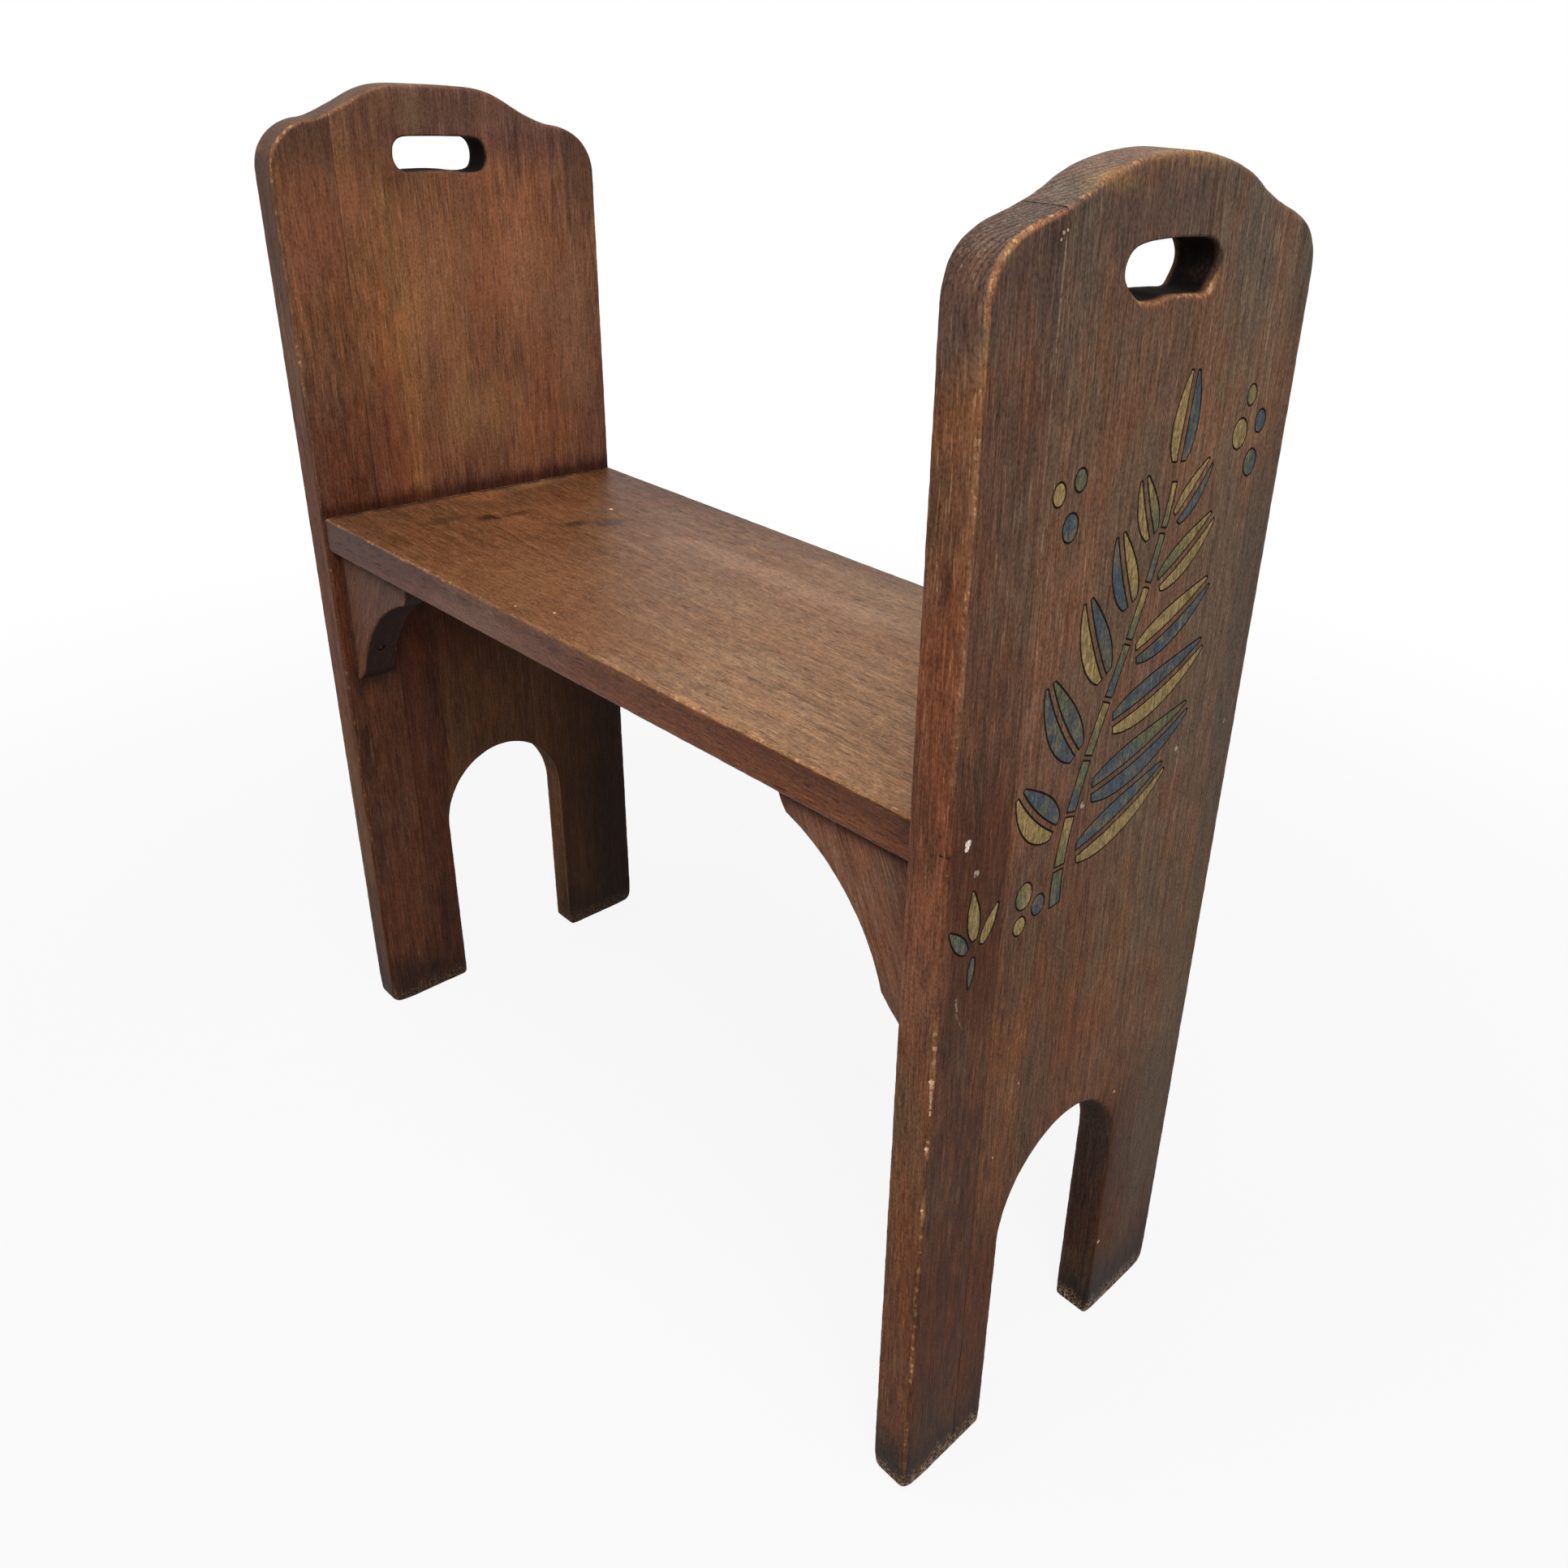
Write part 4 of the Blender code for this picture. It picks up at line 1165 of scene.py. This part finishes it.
looks = {
    "rightFrontBoard": {
        "pith": (40, 60), "ring": 2.6, "seed": 17, "deep": tone(52, 34, 27), "light": tone(104, 72, 56),
        "warmShare": 0.3, "greyShare": 0.35, "endShare": 0.5, "tooth": 1.35, "bodyShare": 0.75, "speckShare": 0.3,
        "faces": (
            ((rightSide, (2, 655, 620)), redEdge), ((rightSide, (2, 650, 690)), (0.88, 1.0, 1.12)),
            ((rightFace, (2, 520, 400)), (0.80, 0.66, 0.56)), ((rightFace, (2, 620, 700)), (0.80, 0.84, 0.95)),
            (((2, 330, 120),), (0.80, 0.78, 0.74)), ((rightFace, (2, 672, 690), (1, -96, -106)), (1.45, 1.40, 1.30)),
            ((rightSide, (2, 545, 575), (2, 660, 640)), (1.06, 1.26, 1.26)),
            ((rightFace, (2, 310, 335), (2, 470, 430)), (0.85, 0.74, 0.68)),
            ((rightFace, (1, -94, -86), (2, 330, 300)), (1.22, 1.12, 0.98)),
            ((rightFace, (2, 230, 150)), (0.94, 0.80, 0.62)),
            (((1, -117.5, -119.0), (2, 350, 300)), (0.95, 0.97, 0.84)),
        ),
        "marks": (
            (301.5, -120, 655, 30, 20, 26, 0.5, 74, 57, 52), (301, -120, 375, 30, 9, 50, 0.4, 122, 78, 58),
            (304, -118, 8, 30, 30, 34, 0.6, 38, 29, 24),
        ),
        "scratches": seamLines + (
            (309, -120, 429, 314, -118.5, 429, 0.9, 1.0, 20, 12, 9),
            (314, -107.5, 347, 314, -106, 340, 0.9, 0.8, 150, 128, 112),
            (314, -101, 326, 314, -106.5, 338, 0.5, 0.5, 138, 112, 94),
            (313, -119.5, 306, 313.5, -119.5, 284, 0.9, 0.8, *paleChip),
            (314, -112, 318, 314, -113.5, 309, 0.7, 0.8, 30, 20, 16),
            (297, -120, 560, 298, -120, 548, 0.6, 0.6, 160, 120, 92),
        ),
        "spots": (
            (314, -107.2, 432, 2.1, 226, 206, 196), (314, -107.8, 429.4, 1.7, 226, 206, 196),
            (314, -79.8, 684.2, 0.8, *paleChip), (314, -81.0, 681.8, 0.6, *paleChip),
            (313, -119.8, 262, 1.5, *paleChip), (313, -119.6, 304, 1.6, *paleChip),
            (265, -120, 306.6, 1.3, 156, 120, 96), (312.8, -119.8, 221, 1.1, *paleChip),
        ),
    },
    "rightMainBoard": {
        "pith": (-90, 260), "ring": 3.2, "seed": 3, "deep": tone(66, 45, 35), "light": tone(130, 94, 72),
        "grey": tone(88, 77, 62), "greyShare": 0.55, "endShare": 0.3, "tooth": 1.35, "bodyShare": 0.8,
        "speckShare": 0.35,
        "faces": (
            (((2, 330, 60),), (0.78, 0.72, 0.66)), ((rightSide, (2, 650, 690)), greyCrest),
            ((rightFace, (2, 420, 330)), (0.94, 0.84, 0.70)),
            ((rightFace, (2, 230, 170), (1, 20, 60)), (0.78, 0.72, 0.74)),
            ((rightFace, (2, 590, 680)), (0.82, 0.90, 1.0)),
            ((rightFace, (1, 0, 60), (2, 520, 620)), (1.14, 1.22, 1.2)),
            ((rightFace, (1, 90, 110)), (0.76, 0.77, 0.75)), ((rightFace, (2, 230, 150)), (0.90, 0.72, 0.58)),
            ((rightFace, (1, -40, -58), (2, 330, 300)), (1.18, 1.16, 0.98)),
            ((rightFace, (1, -42, -58), (2, 200, 140)), (0.74, 0.68, 0.64)),
            ((rightFace, (1, 66, 54), (1, 20, 40), (2, 205, 170)), (0.74, 0.76, 0.76)),
            # the arch's back reveal darkened: dirt and painted shade
            ((rightSide, (1, 57, 53.5), (1, 20, 30), (2, 205, 190), (2, 36, 60)), (0.48, 0.47, 0.56)),
            ((rightFace, (1, -20, 10), (2, 270, 300), (2, 400, 370)), (0.98, 1.08, 1.14)),
            ((rightFace, (1, 20, -10), (2, 450, 400)), (0.90, 0.80, 0.76)),
        ),
        "marks": (
            (314, 112, 470, 20, 26, 190, 0.5, 76, 70, 60), (314, -20, 690, 20, 56, 18, 0.55, 76, 61, 53),
            (314, 104, 200, 20, 40, 190, 0.5, 92, 78, 60), (304, 70, 8, 30, 60, 30, 0.55, 38, 29, 24),
            (314, 6, 714, 9, 58, 8, 0.6, 134, 104, 68), (314, -58, 703, 9, 26, 7, 0.6, 134, 102, 66),
        ),
        "spots": (
            (314, 49, 195, 1.2, *paleChip), (314, 57, 65, 1.3, *paleChip), (314, -77.4, 685.0, 0.6, *paleChip),
            (314, -78.6, 682.0, 0.6, *paleChip), (314, -66, 221, 0.8, *paleChip), (314, -50, 262, 0.7, *paleChip),
        ),
        "scratches": seamLines + (
            (314, -60, 265, 314, -54, 270.5, 0.5, 0.6, 140, 112, 88),
            (314, -64, 292, 314, -40, 297, 0.45, 0.5, 136, 100, 78),
            (314, -30, 340, 314, -18, 329, 0.45, 0.4, 136, 108, 86),
        ),
    },
    "leftFrontBoard": {
        "pith": (150, 40), "ring": 3.0, "seed": 23, "deep": tone(68, 41, 27), "light": tone(128, 82, 54), "wear": 0.7,
        "greyShare": 0.2, "sole": 0.2,
        "faces": (
            # first: painted shade, the inner face darker under the seat
            ((leftInside, (2, 500, 400)), (0.66, 0.58, 0.56)), (seatLine, (0.42, 0.36, 0.36), 0.8),
            ((leftInside, (2, 560, 480)), (0.80, 0.72, 0.78)), ((leftFrontStrip,), (0.92, 0.98, 0.98)),
            ((leftFrontStrip, (2, 540, 480)), (0.76, 0.68, 0.78)),
            ((leftFrontStrip, (2, 320, 240)), (1.04, 0.95, 0.56)),
            ((leftFrontStrip, (2, 150, 90)), (0.66, 0.62, 0.68)), ((leftInside, (2, 330, 290)), (1.08, 1.22, 1.25)),
            ((leftFrontStrip, (2, 480, 640)), (0.52, 0.62, 0.86)), ((leftInside, (2, 655, 690)), (0.62, 0.70, 0.92)),
            (leftCrest, (0.50, 0.66, 0.88)),
        ),
        "marks": (
            (-289, -100, 674, 20, 40, 22, 0.5, 74, 54, 42), (-289, -100, 620, 20, 26, 50, 0.5, 122, 76, 54),
            # the second: painted shadow below the front bracket
            (-289, -96, 22, 20, 40, 36, 0.6, 44, 29, 23), (-289, -100, 306, 20, 24, 16, 0.6, 34, 24, 20),
        ),
    },
    "leftMainBoard": {
        "pith": (-160, -30), "ring": 7.0, "seed": 41, "deep": tone(80, 47, 30), "light": tone(142, 95, 61),
        "warm": tone(150, 92, 52), "grey": tone(84, 62, 46), "greyShare": 0.35, "lateShare": 0.10, "wear": 0.7,
        "sole": 0.2,
        "faces": (
            # first: painted shade, the inner face darker under the seat
            ((leftInside, (2, 450, 400)), (0.56, 0.48, 0.45)), (seatLine, (0.42, 0.36, 0.36), 0.8),
            ((leftInside, (1, -42, -60), (2, 560, 480)), (0.72, 0.60, 0.74)),
            ((leftInside, (1, -48, -32), (2, 400, 460)), (1.08, 1.04, 1.08)),
            ((leftInside, (2, 655, 690)), (0.84, 0.94, 1.20)),
            ((leftInside, (1, 74, 106), (2, 580, 500)), (0.78, 0.80, 0.86)),
            # first: painted shade, the inner face darker from the seat down
            ((leftInside, (2, 448, 436)), (0.84, 0.80, 0.86)), (leftCrest, (0.50, 0.66, 0.88)),
            ((leftInside, (1, -64, -42), (2, 434, 450), (2, 680, 650)), (1.24, 1.27, 1.10)),
            ((leftInside, (1, -50, -24), (2, 286, 330)), (0.70, 0.68, 0.90)),
            ((leftInside, (2, 320, 270)), (1.0, 1.25, 1.35)),
            ((leftInside, (1, 72, 58), (1, 20, 35), (2, 200, 170)), (0.74, 0.74, 0.84)),
            ((leftInside, (1, -20, 20), (2, 300, 320), (2, 400, 360)), (0.80, 0.76, 0.72)),
            ((leftInside, (1, 84, 100), (2, 540, 580)), (1.10, 1.20, 1.24)),
            ((leftInside, (1, -52, -40), (2, 682, 690)), (1.22, 1.32, 1.20)),
            ((leftInside, (1, 70, 84), (2, 150, 178), (2, 252, 232)), (1.40, 1.35, 1.40)),
            # painted shade: the back leg under the seat darkened
            ((leftInside, (1, 20, 100), (2, 400, 330)), (0.32, 0.32, 0.32)),
        ),
        "scratches": (
            (-289, 25.6, 641, -289, 15.5, 525, 0.6, 0.5, 70, 44, 32),
            (-289, -35.2, 640, -289, -34.6, 520, 1.2, 0.55, 88, 50, 36),
        ),
        "marks": (
            (-289, -46, 470, 20, 30, 36, 0.3, 108, 60, 40), (-289, 2, 492, 20, 46, 36, 0.45, 146, 104, 66),
            (-289, -36, 606, 20, 11, 46, 0.45, 142, 92, 60), (-289, -22, 700, 20, 10, 30, 0.55, 128, 104, 78),
            (-289, 20, 630, 20, 20, 40, 0.35, 100, 66, 50), (-289, -64, 60, 20, 12, 46, 0.45, 46, 30, 24),
            (-289, -10, 580, 20, 28, 84, 0.42, 148, 102, 66), (-289, -38, 560, 20, 9, 46, 0.35, 156, 108, 70),
            (-289, 54, 590, 20, 30, 60, 0.4, 150, 102, 72), (-289, -66, 640, 20, 24, 34, 0.4, 132, 84, 60),
            (-289, 92, 540, 20, 22, 70, 0.35, 142, 100, 74), (-289, -10, 697, 20, 90, 20, 0.55, 76, 52, 40),
            (-289, -48, 665, 20, 30, 34, 0.5, 78, 50, 38), (-289, 108, 660, 20, 22, 50, 0.6, 66, 50, 38),
            # painted shadow of the front bracket on the inner face
            (-289, -60, 376, 20, 34, 36, 0.75, 36, 28, 25),
        ),
    },
    "seatBoard": {
        "turn": (0, math.radians(90), 0), "pith": (-60, 190), "ring": 6.5, "seed": 5, "rough": 0.42, "gloss": 0.15,
        "deep": tone(90, 61, 38), "light": tone(147, 107, 72), "warm": tone(118, 74, 48), "grey": tone(130, 103, 76),
        "pale": tone(184, 148, 112), "late": tone(82, 55, 37), "lateShare": 0.14, "footDirt": 0.0, "sole": 0.0,
        "dirtShare": 0.12, "tooth": 1.3, "figure": 0.3, "poreShare": 0.6, "speckShare": 0.4, "mottle": 0.25,
        "cloudShape": (0.07, 0.07, 0.05), "cloudStreak": 0.4, "streak": 0.95, "fibre": 0.08,
        "faces": (
            (((2, 429.2, 427.8),), (0.45, 0.26, 0.19)), (((2, 422, 406),), (1.50, 1.52, 1.40)),
            (((0, -155, -115), (0, 30, -20), (1, 0, -35), (2, 427, 429)), (0.80, 0.76, 0.72)),
            (((0, 150, -250),), (0.52, 0.40, 0.34)), (((1, 84, 118),), (0.70, 0.66, 0.68)),
        ),
        "marks": (
            (-205, -6, 430, 46, 56, 20, 0.45, 124, 78, 48), (-34, -94, 430, 160, 60, 9, 0.75, 106, 69, 43),
            (-90, -50, 430, 80, 50, 9, 0.55, 114, 75, 48), (-284, -4, 430, 30, 24, 9, 0.5, 136, 84, 52),
            (-284, 44, 430, 16, 40, 9, 0.4, 140, 104, 72), (0, 52, 430, 150, 18, 9, 0.3, 164, 128, 102),
            (-262, -92, 430, 50, 30, 9, 0.45, 84, 54, 36), (-80, -116, 412, 110, 9, 16, 0.6, 104, 72, 58),
            (-225, -28, 430, 9, 11, 9, 0.95, 36, 23, 17), (-221, -8, 430, 7, 20, 9, 0.8, 54, 34, 24),
            (-238, -58, 430, 8, 26, 9, 0.7, 62, 39, 27), (-198, 2, 430, 26, 12, 9, 0.45, 74, 47, 31),
            (-176, 14, 430, 8, 16, 9, 0.85, 50, 33, 24), (-163, 34, 430, 9, 18, 9, 0.75, 58, 42, 33),
            (-191, 38, 430, 10, 20, 9, 0.4, 84, 60, 46),
        ),
        "scratches": (
            (-219, -32, 430, -140, -40, 430, 1.6, 0.6, 58, 37, 26),
            (-140, -40, 430, -95, -40, 430, 1.2, 0.35, 66, 43, 30),
        ),
        "spots": (
            (-190, 54, 430, 1.5, 220, 188, 166), (-59, -105, 430, 0.9, 196, 160, 130),
            (-35, -93, 430, 1.0, 190, 152, 124),
        ),
    },
}

# the node and slot that each board stands for, and the brackets' looks, with painted shade on the left pair, under the
# seat and on the left pair's cut edges
replaced = {"seatBoard": ("seat_board", "seat_wood")}
for side, tilt in (("left", -25), ("right", 25)):
    for part in ("front", "main"):
        replaced[f"{side}{part.capitalize()}Board"] = (f"{side}_{part}_board", "panel_wood")
    for end in ("front", "back"):
        name = f"{side}{end.capitalize()}Bracket"
        replaced[name] = (f"{side}_{end}_bracket", "bracket_wood")
        front = next(board.origin[1] for board in brackets if board.name == name)
        looks[name] = {
            "turn": (0, math.radians(tilt), 0), "pith": (70, 150), "ring": 3.6, "seed": 11,
            "deep": tone(78, 47, 35), "light": tone(134, 88, 66), "lateShare": 0.10, "wear": 0.5,
            "dirtShare": 0.2, "footDirt": 0.0, "sole": 0.0,
            # painted shade: the left pair darker, a painted shadow up under the seat, the left pair's cut edges darker
            # behind the front face
            "faces": ((((0, 0, -10),), (0.64, 0.60, 0.64)), (((2, 393, 405),), (0.55, 0.50, 0.50)),
                      (((0, 0, -10), (1, front + 1.0, front + 2.4)), (0.20, 0.20, 0.25))),
        }

for board in (rightFront, rightMain, leftFront, leftMain, seatPiece, *brackets):
    piece = buildBoard(board)
    piece.data.materials.append(woodMaterial(board.name + "Wood", looks[board.name], bool(board.cells)))
    node, slotName = replaced[board.name]
    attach(piece, "root")
    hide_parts(node)

iron, putty = ironMaterial(), puttyMaterial()
for name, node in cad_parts.items():
    if "nail" in name or "putty" in name:
        node.material_slots[0].material = putty if "putty" in name else iron
print("materials done")


# floor, light and camera
studio = {
    "floorSize": 30.0, "floorDrop": 0.0005, "floorTone": (0.42, 0.41, 0.40, 1.0),
    "floorShare": (0.90, 1.0), "floorFade": (0.5, 1.6),
    "worldTone": (0.95, 0.96, 1.0, 1.0), "worldStrength": 0.30,
    # name: place, aimed at, size in metres, watts
    "lamps": {
        "topLight": ((0.35, -0.5, 2.3), (0.0, 0.0, 0.35), 1.6, 38.0),
        "rightLight": ((1.9, -1.2, 2.0), (0.0, 0.0, 0.45), 1.4, 40.0),
        "frontLight": ((-0.9, -2.6, 1.5), (0.0, 0.0, 0.40), 1.6, 14.0),
    },
}


def seenDirectly(graph):
    # 1 for rays from the camera, off gloss and through glass, otherwise 0
    path = lambda out: graph.node("ShaderNodeLightPath", {}, {}, out)
    return (path("Is Camera Ray") + path("Is Glossy Ray") + path("Is Transmission Ray")).clamped()


def buildStudio():
    # a wide floor that looks white from the camera, a white world and three soft lamps
    half, drop = studio["floorSize"] / 2, studio["floorDrop"]
    mesh = bpy.data.meshes.new("floor")
    corners = ((-half, -half), (half, -half), (half, half), (-half, half))
    mesh.from_pydata([(x, y, -drop) for x, y in corners], [], [(0, 1, 2, 3)])
    floor = addObject("floor", mesh)
    material, graph = newTree("paleFloor")
    plain = graph.node("ShaderNodeBsdfPrincipled", {}, {"Base Color": studio["floorTone"], "Roughness": 0.9,
                                                        "Specular IOR Level": 0.1})
    glow = graph.node("ShaderNodeEmission", {}, {"Color": (1, 1, 1, 1), "Strength": 1.0})
    coords = graph.node("ShaderNodeTexCoord", {}, {}, 3)
    away = graph.measure("LENGTH", coords)
    near, far = studio["floorShare"]
    share = near + away.step(*studio["floorFade"]) * (far - near)
    both = graph.node("ShaderNodeMixShader", {}, {0: seenDirectly(graph) * share, 1: plain, 2: glow})
    graph.node("ShaderNodeOutputMaterial", {}, {"Surface": both})
    mesh.materials.append(material)

    world = bpy.data.worlds.new("whiteRoom")
    world.use_nodes = True
    world.node_tree.nodes.clear()
    graph = Wire(world.node_tree)
    seen = graph.node("ShaderNodeBackground", {}, {"Color": (1, 1, 1, 1), "Strength": 1.0})
    ambient = graph.node("ShaderNodeBackground", {},
                         {"Color": studio["worldTone"], "Strength": studio["worldStrength"]})
    both = graph.node("ShaderNodeMixShader", {}, {0: seenDirectly(graph), 1: ambient, 2: seen})
    graph.node("ShaderNodeOutputWorld", {}, {"Surface": both})
    bpy.context.scene.world = world

    for name, (place, aim, size, watts) in studio["lamps"].items():
        light = bpy.data.lights.new(name, "AREA")
        light.shape, light.size, light.energy = "DISK", size, watts
        lamp = addObject(name, light)
        lamp.location = place
        lamp.rotation_euler = (Vector(aim) - Vector(place)).to_track_quat("-Z", "Y").to_euler()


# in pixels of the photo, then the camera's place in metres and its turn, and a sensor width in mm
photo = {
    "size": 1932, "sensor": 36, "focal": 1599.989, "middle": (1145.196, 873.995),
    "place": (0.62296, -0.48654, 0.72923), "turn": (1.88535936, 0.78264367, -0.4201946),
}


def buildCamera():
    # the turn vector takes world directions to the picture's right, down and forward
    turn = Vector(photo["turn"])
    rows = Matrix.Rotation(turn.length, 3, turn.normalized())
    right, down, forward = rows[0], rows[1], rows[2]
    camera = bpy.data.cameras.new("camera")
    camera.sensor_width = photo["sensor"]
    camera.lens = photo["focal"] / photo["size"] * photo["sensor"]
    camera.shift_x = (photo["size"] / 2 - photo["middle"][0]) / photo["size"]
    camera.shift_y = (photo["middle"][1] - photo["size"] / 2) / photo["size"]
    camera.clip_start, camera.clip_end = 0.01, 60
    stand = addObject("camera", camera)
    pose = Matrix((right, -down, -forward)).transposed().to_4x4()
    pose.translation = Vector(photo["place"])
    stand.matrix_world = pose
    bpy.context.scene.camera = stand


buildStudio()
buildCamera()
bpy.context.scene.view_settings.view_transform = "Standard"
print("studio and camera done")
